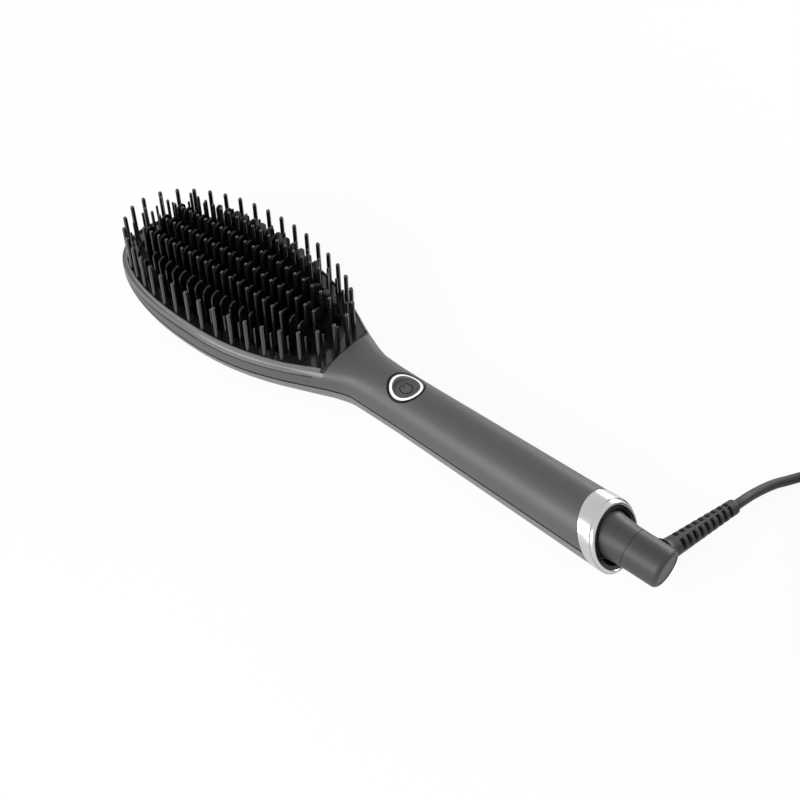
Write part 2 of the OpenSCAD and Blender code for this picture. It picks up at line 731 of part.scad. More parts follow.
module supply_leads() color("#6b4f2a") {
    for (s = [-1, 1])
        wire([[slip_x[0] - 1.4, s * 1.6, axis_h - slip_r - 3.8],
              [board_x[1] + 8, s * 5.4, axis_h - 8.4], [board_x[1], s * 6, axis_h - 6.5],
              [board_x[1] - 4, s * 6, axis_h + board_top - board_t - 0.5]]);
}

spindle_start = housing_x - 6.4;
clip_t = 0.8;
clip_x = housing_x + 4.6 - clip_t;      // just behind the neck's inner end
module swivel_spindle() color("#9a9a9e") {
    difference() {
        union() {
            along_x(spindle_start) cylinder(r = spindle_r, h = seam_x + 3 - spindle_start);
            along_x(seam_x + 0.3) cylinder(r = barrel_r - 1.7, h = 2.7);
        }
        along_x(spindle_start + 8) cylinder(r = 2.4, h = 60);
        along_x(clip_x - 0.05) difference() {
            cylinder(r = 20, h = clip_t + 0.1);
            translate([0, 0, -1]) cylinder(r = spindle_r - 0.7, h = 9);
        }
    }
}

module retaining_clip() color("silver") {
    along_x(clip_x) difference() {
        cylinder(r = spindle_r + 1.6, h = clip_t);
        translate([0, 0, -1]) cylinder(r = spindle_r - 0.65, h = 5);
        translate([-far / 2, -1.6, -1]) cube([far / 2, 3.2, 5]);
    }
}

// where the lead leaves the barrel
relief_x = seam_x + 8.7;
relief_yaw = 10.5;
relief_droop = 8;
relief_dir = [sin(relief_yaw) * cos(relief_droop), cos(relief_yaw) * cos(relief_droop),
              -sin(relief_droop)];
relief_root = [relief_x, 0, axis_h];
relief_end = relief_root + relief_len * relief_dir;
module along_relief(at) {
    translate(relief_root + at * relief_dir)
        rotate([90 + relief_droop, 0, 180 - relief_yaw]) children();
}

barrel_round = 2.2;
barrel_wall = 1.6;
module swivel_barrel() color("#3a3a3c") {
    difference() {
        along_x(0) rotate_extrude($fn = 96) difference() {
            union() {
                translate([0, seam_x + 0.2]) square([barrel_r, barrel_len - 0.2 - barrel_round]);
                translate([0, barrel_end - barrel_round]) square([barrel_r - barrel_round, barrel_round]);
                translate([barrel_r - barrel_round, barrel_end - barrel_round]) circle(barrel_round);
            }
            translate([-20, seam_x - 5]) square([20, 40]);
        }
        along_x(seam_x - 1) cylinder(r = barrel_r - barrel_wall, h = barrel_len - 1.3);
        along_x(seam_x) cylinder(r = cap_r + fit, h = barrel_len + 1);
        along_relief(0) cylinder(r = relief_r[0] + 0.1, h = 20);
    }
}

cap_r = 6.1;
cap_t = 1.4;
module barrel_cap() color("#39393b") {
    along_x(barrel_end - cap_t - 0.2) cylinder(r = cap_r, h = cap_t);
}

module barrel_leads() color("#6b4f2a") {
    for (s = [-1, 1])
        wire([[spindle_start + 9, 0, axis_h + s * 1.1], [seam_x + 4, 0, axis_h + s * 1.1],
              [seam_x + 6.5, 2, axis_h + s * 1], relief_root + 5 * relief_dir + [0, 0, s * 1]]);
}

// ribbed sleeve: a tapered tube with four rows of slots and a plain collar
relief_from = 6.6;
cord_root = relief_from + 1;
slot_pitch = 3.56;
relief_neck = 4;
relief_r = [4.4, 3.2];
slot_count = 9;
slot_from = relief_len - 4.8 - (slot_count - 1) * slot_pitch;
slot_w = 1.6;
module strain_relief() color("#2e2e30") {
    bore = cord_d / 2 + 0.02;
    difference() {
        along_relief(0) rotate_extrude()
            polygon([[bore, relief_from], [relief_r[0], relief_from],
                     [relief_r[0], relief_from + relief_neck], [relief_r[1], relief_len],
                     [bore, relief_len]]);
        for (i = [0:slot_count - 1], a = [45:90:315])
            along_relief(slot_from + i * slot_pitch) rotate([0, 0, a])
                translate([2.6, -1.9, -slot_w / 2]) cube([4, 3.8, slot_w]);
    }
}

// ---- lead ------------------------------------------------------------------------------------

cord_sides = 8;
tie_t = 0.6;
coil_step = cord_d + 0.6;
coil_low = tie_t + 0.2 + cord_d / 2;
coil_out = coil_r + coil_turns * coil_step / 2;
coil_heading = 60;      // direction in which the lead joins the coil and leaves it again
coil_dir = [cos(coil_heading), sin(coil_heading), 0];
coil_start = [relief_x + 33.5, 103, coil_low];
coil_end = coil_start + [0, 0, (coil_layers - 1) * coil_step];
coil_mid = [coil_start[0] + coil_out * sin(coil_heading), coil_start[1] - coil_out * cos(coil_heading)];
plug_entry = [coil_mid[0] + coil_out + 13.8, coil_mid[1] - 10, 7];

// the lead comes down from the strain relief, crosses the surface and runs into the coil
lead_points = [for (p = [[10.2, 56.5, 3.5], [11.9, 63.7, 2.1], [14.1, 70.1, 1], [17, 75.5, 0.3],
        [20.8, 81.9, 0.1], [25, 88.7, 0.3]])
    p + [relief_x, 0, cord_d / 2]];
// the far end leaves the coil's top layer and comes down round the coil to the plug: how far
// each point lies outside the coil, and its share of the way down
tail_points = [for (k = [0:5])
    let (p = [[2.4, 0.09], [4.2, 0.28], [6.2, 0.5], [8.4, 0.7], [10.6, 0.87], [12.6, 0.97]][k],
         a = coil_heading + 58 - 20 * k, r = coil_out + p[0])
    [coil_mid[0] + r * cos(a), coil_mid[1] + r * sin(a),
     coil_end[2] + p[1] * (plug_entry[2] - coil_end[2])]];
cord_route = concat([relief_end, relief_end + cord_d * relief_dir], lead_points,
    [coil_start - 2 * cord_d * coil_dir]);
tail_route = concat([coil_end + 2 * cord_d * coil_dir], tail_points, [plug_entry + [0, cord_d, 0]]);

// smooth curve through the points, with the last point kept
function smooth(p, steps) = concat([for (i = [0:len(p) - 2], s = [0:steps - 1])
    let (t = s / steps, a = p[max(0, i - 1)], b = p[i], c = p[i + 1], d = p[min(len(p) - 1, i + 2)])
    0.5 * (2 * b + (c - a) * t + (2 * a - 5 * b + 4 * c - d) * t * t
           + (3 * b - a - 3 * c + d) * t * t * t)], [p[len(p) - 1]]);
function unit(v) = v / norm(v);

// one closed tube through the points, its rings square to the run
module tube(p, r, sides, ref = [0, 0, 1]) {
    k = len(p);
    rings = [for (i = [0:k - 1])
        let (d = unit(p[min(k - 1, i + 1)] - p[max(0, i - 1)]), e = unit(cross(ref, d)),
             f = cross(d, e))
        each [for (j = [0:sides - 1])
            p[i] + r * (cos(360 * j / sides) * e + sin(360 * j / sides) * f)]];
    sides_faces = [for (i = [0:k - 2], j = [0:sides - 1])
        let (a = i * sides + j, b = i * sides + (j + 1) % sides)
        each [[a, a + sides, b + sides], [a, b + sides, b]]];
    ends = [[for (j = [0:sides - 1]) j], [for (j = [sides - 1:-1:0]) (k - 1) * sides + j]];
    polyhedron(rings, concat(sides_faces, ends), convexity = 10);
}

cord_path = concat([relief_root + cord_root * relief_dir], smooth(cord_route, 3),
    [coil_start - cord_d * coil_dir]);
tail_path = concat([coil_end + cord_d * coil_dir], smooth(tail_route, 3), [plug_entry]);
module cord() color("#2e2e30") tube(cord_path, cord_d / 2, cord_sides);
module cord_tail() color("#2e2e30") tube(tail_path, cord_d / 2, cord_sides);

// the coil spirals in and out at a steady rate, and climbs in the half turn at each reversal
loop_rings = 24;
function coil_at(t) =
    let (layer = floor(t / coil_turns), u = t - layer * coil_turns,
         r = coil_out - coil_step * (layer % 2 == 0 ? u : coil_turns - u),
         near = round(t / coil_turns),
         climb = (near > 0 && near < coil_layers)
             ? min(1, max(0, (t - near * coil_turns) * 2 + 0.5)) + near - 1 : layer,
         a = coil_heading + 90 - 360 * t)
    [coil_mid[0] + r * cos(a), coil_mid[1] + r * sin(a),
     coil_low + coil_step * min(coil_layers - 1, climb)];
coil_total = coil_turns * coil_layers;
coil_points = concat([coil_start - cord_d * coil_dir],
    [for (i = [0:coil_total * loop_rings]) coil_at(i / loop_rings)], [coil_end + cord_d * coil_dir]);
module cord_coil() color("#2e2e30") tube(coil_points, cord_d / 2, 6);

coil_gap = min([for (i = [1:3:len(coil_points) - 2],
    j = [i + floor(loop_rings * 0.6):min(len(coil_points) - 2, i + loop_rings * 9)])
    norm(coil_points[i] - coil_points[j])]) - cord_d;
echo(coil_gap = coil_gap);
function run_length(p) = len(p) < 2 ? 0
    : [for (i = [0:len(p) - 2]) norm(p[i + 1] - p[i])] * [for (i = [0:len(p) - 2]) 1];
echo(lead_length = run_length(cord_path) + run_length(coil_points) + run_length(tail_path));

// strap round the coil's bundle
tie_w = 8;
module cord_tie() color("#202022") {
    low = coil_low - cord_d / 2 - 0.15;
    high = coil_end[2] + cord_d / 2 + 0.25;
    inner = coil_r - coil_turns * coil_step / 2 - 0.7;
    outer = coil_r + coil_turns * coil_step / 2 + 0.2;
    // it goes round the bundle where the lead's joining point is half a turn away
    translate([coil_mid[0], coil_mid[1], 0]) rotate([0, 0, coil_heading - 180])
        translate([-tie_w / 2, 0, 0]) rotate([90, 0, 90]) linear_extrude(tie_w) difference() {
            translate([inner - tie_t, low - tie_t])
                square([outer - inner + 2 * tie_t, high - low + 2 * tie_t]);
            translate([inner, low]) square([outer - inner, high - low]);
        }
}

// ---- plug ------------------------------------------------------------------------------------

plug_len = 36;
plug_w = 35.3;
plug_h = 13.7;
pin_spacing = 18.6;
pin_r = 2;
pin_root_r = 1.6;
pin_root = 8;
pin_len = 19;
// the plug is drawn from the lead's entry along +Y, and turned to lie along -Y
module plug_place() translate(plug_entry) rotate([0, 0, 180]) children();

module plug_body() color("#2a2a2c") {
    plug_place() difference() {
        union() {
            translate([0, plug_len, 0]) rotate([90, 0, 0]) linear_extrude(22) plug_face();
            translate([0, plug_len - 21.9, 0]) rotate([90, 0, 0])
                cylinder(r1 = 6.6, r2 = 4, h = plug_len - 22.5);
        }
        translate([0, -1, 0]) rotate([-90, 0, 0]) cylinder(r = cord_d / 2 + 0.02, h = 1.02);
        for (s = [-1, 1]) translate([s * pin_spacing / 2, plug_len + 1, 0])
            rotate([90, 0, 0]) cylinder(r = pin_root_r + 0.02, h = pin_root + 1.1);
    }
}
module plug_face() {
    square([plug_w - plug_h, plug_h], center = true);
    for (s = [-1, 1]) translate([s * (plug_w - plug_h) / 2, 0]) circle(plug_h / 2);
}

module plug_pins() color("silver") {
    plug_place() for (s = [-1, 1]) translate([s * pin_spacing / 2, plug_len - pin_root, 0])
        rotate([-90, 0, 0]) {
            cylinder(r = pin_root_r, h = pin_root + 0.1);
            translate([0, 0, pin_root]) cylinder(r = pin_r, h = pin_len);
        }
}

upper_casing();
lower_casing();
head_bezel();
long_pin_frame();
short_pin_frame();
centre_pin_carrier();
heater_plate();
heater_elements();
element_insulator();
heater_clamp();
heat_shield();
heater_screws();
thermistor();
thermal_fuse();
heater_leads();
control_board();
power_components();
control_components();
board_screws();
tact_switch();
switch_plunger();
status_leds();
button_housing();
light_ring();
power_button();
casing_screws();
end_ring();
swivel_housing();
swivel_neck();
contact_brushes();
supply_leads();
swivel_spindle();
slip_rings();
retaining_clip();
swivel_barrel();
barrel_cap();
barrel_leads();
strain_relief();
cord();
cord_coil();
cord_tail();
cord_tie();
plug_body();
plug_pins();
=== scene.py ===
import math

import bmesh
import bpy
from mathutils import Matrix, Vector


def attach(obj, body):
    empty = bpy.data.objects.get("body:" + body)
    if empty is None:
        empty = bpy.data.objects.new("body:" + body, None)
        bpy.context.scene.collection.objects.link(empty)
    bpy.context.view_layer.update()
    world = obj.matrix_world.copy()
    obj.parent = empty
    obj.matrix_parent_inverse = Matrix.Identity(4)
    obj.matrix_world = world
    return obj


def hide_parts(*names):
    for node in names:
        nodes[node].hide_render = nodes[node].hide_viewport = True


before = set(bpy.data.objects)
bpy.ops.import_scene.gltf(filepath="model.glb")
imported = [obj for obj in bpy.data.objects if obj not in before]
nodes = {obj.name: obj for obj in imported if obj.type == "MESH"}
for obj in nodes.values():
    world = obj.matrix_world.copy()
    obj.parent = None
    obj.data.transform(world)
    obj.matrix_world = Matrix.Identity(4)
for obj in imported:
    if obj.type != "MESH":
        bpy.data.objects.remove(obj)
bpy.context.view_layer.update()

# ---- camera ---------------------------------------------------------------------------------
# It stands above the swivel end, to the left of the handle, and looks down at the button.

eye = bpy.data.objects.new("camera", bpy.data.cameras.new("camera"))
bpy.context.scene.collection.objects.link(eye)
eye.location = (0.28353, -0.31184, 0.50163)
eye.rotation_euler = [math.radians(a) for a in (40.282, 0.661, 40.245)]
eye.data.lens = 69.064
eye.data.sensor_width = 36
eye.data.clip_start = 0.01
bpy.context.scene.camera = eye

# ---- mains lead -----------------------------------------------------------------------------
# Round black-grey lead of two wires in a soft jacket, 4.2 mm thick and 2.1 m long. It leaves the
# strain relief, dips to the surface, and lies there in a strapped coil with its plug beside it.

MM = 0.001
AXIS = 14.2             # height of the handle's centre line, mm
LEAD_D = 4.2
RING_X = 115.6          # seam between casing and end ring
BARREL_SEAM = RING_X + 13.7
RELIEF_X = BARREL_SEAM + 8.7
RELIEF_LEN = 47.7
YAW, DROOP = math.radians(10.5), math.radians(8)
relief_way = Vector((math.sin(YAW) * math.cos(DROOP), math.cos(YAW) * math.cos(DROOP),
                     -math.sin(DROOP)))
relief_root = Vector((RELIEF_X, 0, AXIS))
relief_tip = relief_root + RELIEF_LEN * relief_way

COIL_TURNS, COIL_LAYERS, COIL_R = 3, 4, 25
COIL_STEP = LEAD_D + 0.6
COIL_LOW = 0.8 + LEAD_D / 2
COIL_OUT = COIL_R + COIL_TURNS * COIL_STEP / 2
COIL_HEADING = math.radians(60)         # direction in which the lead joins and leaves the coil
coil_way = Vector((math.cos(COIL_HEADING), math.sin(COIL_HEADING), 0))
coil_in = Vector((RELIEF_X + 33.5, 103, COIL_LOW))
coil_off = coil_in + Vector((0, 0, (COIL_LAYERS - 1) * COIL_STEP))
coil_mid = Vector((coil_in.x + COIL_OUT * coil_way.y, coil_in.y - COIL_OUT * coil_way.x, 0))
plug_back = Vector((coil_mid.x + COIL_OUT + 13.8, coil_mid.y - 10, 7))


def smooth_run(p, steps):
    """points on a smooth curve through p"""
    out = []
    for i in range(len(p) - 1):
        a, b, c, d = p[max(0, i - 1)], p[i], p[i + 1], p[min(len(p) - 1, i + 2)]
        for t in (s / steps for s in range(steps)):
            out.append(0.5 * (2 * b + (c - a) * t + (2 * a - 5 * b + 4 * c - d) * t * t
                              + (3 * b - a - 3 * c + d) * t ** 3))
    return out + [p[-1]]


def coil_at(t):
    """a point of the coil after t turns: layers spiral in and out, and climb at each reversal"""
    layer = min(COIL_LAYERS - 1, int(t / COIL_TURNS))
    u = t - layer * COIL_TURNS
    r = COIL_OUT - COIL_STEP * (u if layer % 2 == 0 else COIL_TURNS - u)
    near = round(t / COIL_TURNS)
    climb = layer
    if 0 < near < COIL_LAYERS:
        climb = min(1, max(0, (t - near * COIL_TURNS) * 2 + 0.5)) + near - 1
    a = COIL_HEADING + math.radians(90 - 360 * t)
    return coil_mid + Vector((r * math.cos(a), r * math.sin(a),
                              COIL_LOW + COIL_STEP * min(COIL_LAYERS - 1, climb)))


down_to_coil = [(10.2, 56.5, 3.5), (11.9, 63.7, 2.1), (14.1, 70.1, 1), (17, 75.5, 0.3),
                (20.8, 81.9, 0.1), (25, 88.7, 0.3)]
out_of_relief = [relief_tip, relief_tip + LEAD_D * relief_way]
out_of_relief += [Vector(p) + Vector((RELIEF_X, 0, LEAD_D / 2)) for p in down_to_coil]
out_of_relief += [coil_in - 2 * LEAD_D * coil_way]
# how far each point on the way to the plug lies outside the coil, and its share of the way down
down_to_plug = [(2.4, 0.09), (4.2, 0.28), (6.2, 0.5), (8.4, 0.7), (10.6, 0.87), (12.6, 0.97)]
into_plug = [coil_off + 2 * LEAD_D * coil_way]
for k, (outside, share) in enumerate(down_to_plug):
    a = COIL_HEADING + math.radians(58 - 20 * k)
    into_plug.append(Vector((coil_mid.x + (COIL_OUT + outside) * math.cos(a),
                             coil_mid.y + (COIL_OUT + outside) * math.sin(a),
                             coil_off.z + share * (plug_back.z - coil_off.z))))
into_plug += [plug_back + Vector((0, LEAD_D, 0))]
lead_start = relief_root + 7.6 * relief_way
RINGS_A_TURN = 48
coil_run = [coil_at(i / RINGS_A_TURN)
            for i in range(COIL_TURNS * COIL_LAYERS * RINGS_A_TURN + 1)]
lead_run = [lead_start, *smooth_run(out_of_relief, 6), coil_in - LEAD_D * coil_way, *coil_run,
            coil_off + LEAD_D * coil_way, *smooth_run(into_plug, 6), plug_back]


class Wire:
    """an output socket in a material, so that shader maths reads as an expression"""

    def __init__(self, tree, socket):
        self.tree, self.socket = tree, socket

    def node(self, kind, settings=(), inputs=(), out=0):
        """any node: its settings are made first, then its inputs get values or wires"""
        made = self.tree.nodes.new(kind)
        for name, value in dict(settings).items():
            setattr(made, name, value)
        for name, value in dict(inputs).items():
            if isinstance(value, Wire):
                self.tree.links.new(value.socket, made.inputs[name])
            else:
                made.inputs[name].default_value = value
        return Wire(self.tree, made.outputs[out])

    def math(self, operation, a, b=0.0):
        return self.node("ShaderNodeMath", {"operation": operation}, {0: a, 1: b})

    def __add__(self, other):
        return self.math("ADD", self, other)

    def __sub__(self, other):
        return self.math("SUBTRACT", self, other)

    def __rsub__(self, other):
        return self.math("SUBTRACT", other, self)

    def __mul__(self, other):
        return self.math("MULTIPLY", self, other)

    def __gt__(self, other):
        return self.math("GREATER_THAN", self, other)

    def __lt__(self, other):
        return self.math("LESS_THAN", self, other)

    def at_least(self, low):
        return self.math("MAXIMUM", self, low)

    def clamp(self):
        return self.node("ShaderNodeClamp", (), {"Value": self})

    def mix(self, colour_a, colour_b):
        """colour_a where this wire is 0, and colour_b where it is 1"""
        return self.node("ShaderNodeMix", {"data_type": "RGBA"},
                         {0: self, 6: colour_a, 7: colour_b}, 2)

    def noise(self, scale, detail=2.0, rough=0.5):
        """cloudy pattern in this wire's coordinates, about 0.3 to 0.7"""
        return self.node("ShaderNodeTexNoise", (),
                         {"Vector": self, "Scale": scale, "Detail": detail, "Roughness": rough})

    def part(self, axis):
        """one coordinate of this wire's vector, in mm"""
        return self.node("ShaderNodeSeparateXYZ", (), {0: self}, axis) * 1000

    __radd__ = __add__


def grey(level, tint=(1, 1, 1)):
    """linear colour from a level of 0 to 255 as a screen shows it, with a slight tint"""
    value = level / 255
    value = value / 12.92 if value <= 0.04045 else ((value + 0.055) / 1.055) ** 2.4
    return tuple(value * t for t in tint) + (1,)


def new_finish(name):
    """a material, its Principled shader and the wire of the row frame's coordinates"""
    material = bpy.data.materials.new(name)
    material.use_nodes = True
    shader = material.node_tree.nodes["Principled BSDF"]
    place = material.node_tree.nodes.new("ShaderNodeTexCoord")
    return material, shader, Wire(material.node_tree, place.outputs["Object"])


def feed(shader, wires=(), values=()):
    """gives a shader's inputs their wires and their plain values"""
    for name, wire in dict(wires).items():
        wire.tree.links.new(wire.socket, shader.inputs[name])
    for name, value in dict(values).items():
        shader.inputs[name].default_value = value


def moulded(name, colour, other, rough, grain, depth, wander=0.05, values=()):
    """moulded plastic or rubber: two near shades in soft clouds, a fine grain that is both bump
    and roughness, and a broader wander of the gloss; grain is in bumps a metre, depth in metres"""
    material, shader, place = new_finish(name)
    clouds = place.noise(55, 3)
    fine = place.noise(grain, 2, 0.6)
    swell = place.noise(420, 2)
    bump = place.node("ShaderNodeBump", (),
                      {"Strength": 1.0, "Distance": depth, "Height": fine + swell * 0.4})
    feed(shader, {"Base Color": clouds.mix(colour, other),
                  "Roughness": rough + (clouds - 0.5) * wander + (fine - 0.5) * wander,
                  "Normal": bump}, values)
    return material


def dress(material, *names):
    """gives CAD nodes that stay as they are their finish"""
    for name in names:
        nodes[name].data.materials.clear()
        nodes[name].data.materials.append(material)


def place_piece(piece, material, body, slot, *stands_for):
    """links a new piece, and ties it to its body and the CAD nodes it stands for; slot is not used
    """
    if piece.name not in bpy.context.scene.collection.objects:
        bpy.context.scene.collection.objects.link(piece)
    piece.data.materials.append(material)
    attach(piece, body)
    if stands_for:
        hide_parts(*stands_for)
    return piece


lead_rubber = moulded("lead_rubber", grey(62), grey(72), 0.47, 5200, 0.00002)
lead_line = bpy.data.curves.new("lead", "CURVE")
lead_line.dimensions = "3D"
lead_line.bevel_depth = LEAD_D / 2 * MM
lead_line.bevel_resolution = 6
lead_line.use_fill_caps = True
run = lead_line.splines.new("POLY")
run.points.add(len(lead_run) - 1)
for spot, p in zip(run.points, lead_run):
    spot.co = (*(p * MM), 1)
lead = place_piece(bpy.data.objects.new("lead", lead_line), lead_rubber, "swivel", "cord",
                   "cord", "cord_coil", "cord_tail")
lead_length = sum((b - a).length for a, b in zip(lead_run, lead_run[1:])) * MM

# ---- strap round the coil -------------------------------------------------------------------
# Woven nylon strap, 8 mm wide, wrapped once round the coil's bundle and closed on itself.


def skin_over(name, rows, wrap=True, ends=True, crease=35):
    """a mesh from rows of points in mm: faces between rows, and a cap on each end"""
    count = len(rows[0])
    faces = []
    for i in range(len(rows) - 1):
        for j in range(count if wrap else count - 1):
            a, b = i * count + j, i * count + (j + 1) % count
            faces.append((a, b, b + count, a + count))
    if ends:
        faces.append(tuple(range(count)))
        faces.append(tuple(range((len(rows) - 1) * count, len(rows) * count)))
    return solid_of(name, [p for row in rows for p in row], faces, crease)


def solid_of(name, points, faces, crease=35):
    """an object of points in mm and faces, welded, turned outwards and shaded smooth"""
    mesh = bpy.data.meshes.new(name)
    mesh.from_pydata([Vector(p) * MM for p in points], [], faces)
    work = bmesh.new()
    work.from_mesh(mesh)
    bmesh.ops.remove_doubles(work, verts=work.verts, dist=2e-6)
    bmesh.ops.dissolve_degenerate(work, dist=1e-7, edges=work.edges)
    bmesh.ops.recalc_face_normals(work, faces=work.faces)
    work.to_mesh(mesh)
    work.free()
    mesh.shade_smooth()
    mesh.set_sharp_from_angle(angle=math.radians(crease))
    return bpy.data.objects.new(name, mesh)


def rounded_box(half_w, half_h, radius, steps=8):
    """outline of a rectangle with round corners about the origin"""
    out = []
    for k, (sx, sy) in enumerate(((1, 1), (-1, 1), (-1, -1), (1, -1))):
        for i in range(steps + 1):
            a = math.radians(90 * k + 90 * i / steps)
            out.append((sx * (half_w - radius) + radius * math.cos(a),
                        sy * (half_h - radius) + radius * math.sin(a)))
    return out


STRAP_W, STRAP_T = 8, 0.6
strap_low, strap_high = 0.05 + STRAP_T, coil_off.z + LEAD_D / 2 + 0.25
strap_in = COIL_R - COIL_TURNS * COIL_STEP / 2 - 0.7
strap_out = COIL_R + COIL_TURNS * COIL_STEP / 2 + 0.2
strap_half = ((strap_out - strap_in) / 2, (strap_high - strap_low) / 2)
strap_mid = (strap_in + strap_out) / 2, (strap_low + strap_high) / 2
# it goes round the bundle where the lead's joining point is half a turn away
strap_turn = Matrix.Translation(coil_mid) @ Matrix.Rotation(COIL_HEADING - math.pi, 4, "Z")
strap_rows = []
for t, x in ((0, -1), (STRAP_T, -1), (STRAP_T, 1), (0, 1), (0, -1)):
    strap_rows.append([strap_turn @ Vector((x * (STRAP_W / 2 - (0.1 if t else 0)),
                                            strap_mid[0] + a, strap_mid[1] + b))
                       for a, b in rounded_box(strap_half[0] + t, strap_half[1] + t, 2 + t)])
strap_weave, strap_shader, place = new_finish("strap_weave")
weave = place.node("ShaderNodeTexWave", {"bands_direction": "DIAGONAL"},
                   {"Vector": place, "Scale": 900, "Distortion": 0.6}, 1)
feed(strap_shader, {"Base Color": weave.mix(grey(30), grey(52)),
                    "Roughness": 0.78 + weave * 0.12,
                    "Normal": place.node("ShaderNodeBump", (), {"Distance": 0.00012,
                                                                "Height": weave})},
     {"Sheen Weight": 0.3})
place_piece(skin_over("coil_strap", strap_rows, ends=False), strap_weave, "swivel", "tie",
            "cord_tie")

# ---- plug -----------------------------------------------------------------------------------
# Flat two-pin plug, moulded in one piece on the lead's end, with a waisted grip. Its pins are
# plated brass.

plug_black = moulded("plug_black", grey(40), grey(50), 0.5, 3800, 0.00003)
PLUG_LEN, PLUG_STEPS = 36, 10
plug_rows = []
# distance from the front face, half width and half height of each section
for back, half_w, half_h in ((0, 16.9, 6.1), (0.4, 17.4, 6.6), (1.2, 17.65, 6.85),
                             (15, 17.65, 6.85), (19, 17.3, 6.8), (21, 15.8, 6.6),
                             (22.4, 12.5, 6.5), (24, 9, 6.3), (26, 7, 5.8), (29, 5.6, 5.1),
                             (32, 4.7, 4.5), (35, 4.1, 4), (35.7, 3.8, 3.8), (35.9, 3.3, 3.3)):
    plug_rows.append([(plug_back.x + a, plug_back.y - PLUG_LEN + back, plug_back.z + b)
                      for a, b in rounded_box(half_w, half_h, min(half_w, half_h) - 0.02,
                                              PLUG_STEPS)])
place_piece(skin_over("plug_moulding", plug_rows), plug_black, "swivel", "plug", "plug_body")

plated, plated_shader, place = new_finish("plated_pins")
brushed = place.noise(1600, 3)
feed(plated_shader, {"Base Color": brushed.mix(grey(196, (1, 0.99, 0.95)), grey(214)),
                     "Roughness": 0.2 + brushed * 0.14,
                     "Normal": place.node("ShaderNodeBump", (), {"Distance": 0.000008,
                                                                 "Height": brushed})},
     {"Metallic": 1.0})
dress(plated, "plug_pins")

# ---- strain relief --------------------------------------------------------------------------
# Tapered rubber sleeve moulded over the lead, with a flared root in the barrel, four rows of nine
# slots that let it bend, and a plain collar at its tip.

SLOTS, SLOT_PITCH, SLOT_W = 9, 3.56, 2.1
# radius of the slots' floor, and radius below which the slots get painted shade
SLOT_FLOOR, SLOT_SHADE = 2.2, 2.75
relief_rubber, relief_shader, place = new_finish("relief_rubber")
grain, clouds = place.noise(4200, 2, 0.6), place.noise(55, 3)
off_root = place.node("ShaderNodeVectorMath", {"operation": "SUBTRACT"},
                      {0: place, 1: tuple(relief_root * MM)})
off_line = off_root.node("ShaderNodeVectorMath", {"operation": "CROSS_PRODUCT"},
                         {0: off_root, 1: tuple(relief_way)})
off_line = off_line.node("ShaderNodeVectorMath", {"operation": "LENGTH"}, {0: off_line}, 1) * 1000
# painted shade: near black inside the slots, where shade falls
slot_painted_shade = off_line < SLOT_SHADE
feed(relief_shader, {"Base Color": slot_painted_shade.mix(clouds.mix(grey(58), grey(66)), grey(12)),
                     "Roughness": 0.48 + grain * 0.05,
                     "Normal": place.node("ShaderNodeBump", (), {"Distance": 0.00003,
                                                                 "Height": grain})})
first_slot = RELIEF_LEN - 4.8 - (SLOTS - 1) * SLOT_PITCH
relief_turn = (Matrix.Translation(relief_root) @ Matrix.Rotation(math.pi - YAW, 4, "Z")
               @ Matrix.Rotation(math.pi / 2 + DROOP, 4, "X"))


def sleeve_r(t):
    """outer radius of the sleeve at t mm from the barrel's centre line"""
    taper = 4.4 - 1.2 * max(0, t - 10.6) / (RELIEF_LEN - 10.6)
    return taper + 1.5 * math.exp(-max(0, t - 7.4) / 0.75)


def sleeve_row(t, radius, floor):
    """a ring of the sleeve; floor is the radius inside the slots, or None between them"""
    half = math.degrees(math.asin(min(0.95, 2.2 / radius)))
    row = []
    for middle in (45, 135, 225, 315):
        for a in (-45, -(half + 45) / 2, -half - 2, -half + 2, -half / 2, 0, half / 2, half - 2,
                  half + 2, (half + 45) / 2):
            r = floor if floor and abs(a) < half - 1 else radius
            b = math.radians(middle + a)
            row.append(relief_turn @ Vector((r * math.cos(b), r * math.sin(b), t)))
    return row


sleeve_rows = [sleeve_row(7.2, 2.2, None)]
sleeve_rows += [sleeve_row(t, sleeve_r(t), None) for t in (7.2, 7.7, 8.2, 8.8, 9.6, 10.6, 12)]
for i in range(SLOTS):
    middle = first_slot + i * SLOT_PITCH
    for offset, cut in ((-0.95, False), (-0.65, True), (0, True), (0.65, True), (0.95, False)):
        t = middle + offset * SLOT_W / 1.9
        sleeve_rows.append(sleeve_row(t, sleeve_r(t), SLOT_FLOOR if cut else None))
for t, r in ((RELIEF_LEN - 3.2, 3.3), (RELIEF_LEN - 3, 3.42), (RELIEF_LEN - 0.5, 3.4),
             (RELIEF_LEN - 0.12, 3.2), (RELIEF_LEN, 2.9), (RELIEF_LEN, 2.1)):
    sleeve_rows.append(sleeve_row(t, min(r, 3.26 if t > RELIEF_LEN - 4 else r), None))
place_piece(skin_over("relief_sleeve", sleeve_rows, crease=50), relief_rubber, "swivel", "cord",
            "strain_relief")

# ---- swivel ---------------------------------------------------------------------------------
# A bell-shaped neck fixed in the handle, and a barrel that turns on its spindle with the lead.
# Both are soft-touch coated; the barrel's end is closed by a flush cap. Slip rings carry the
# current inside.

swivel_coat = moulded("swivel_coat", grey(66), grey(74), 0.46, 6500, 0.000012)
dress(swivel_coat, "swivel_neck", "swivel_barrel")
dress(moulded("cap_coat", grey(62), grey(70), 0.42, 6500, 0.00001), "barrel_cap")
spindle_nylon = moulded("spindle_nylon", grey(120), grey(132), 0.4, 3000, 0.00002)
dress(spindle_nylon, "swivel_spindle")


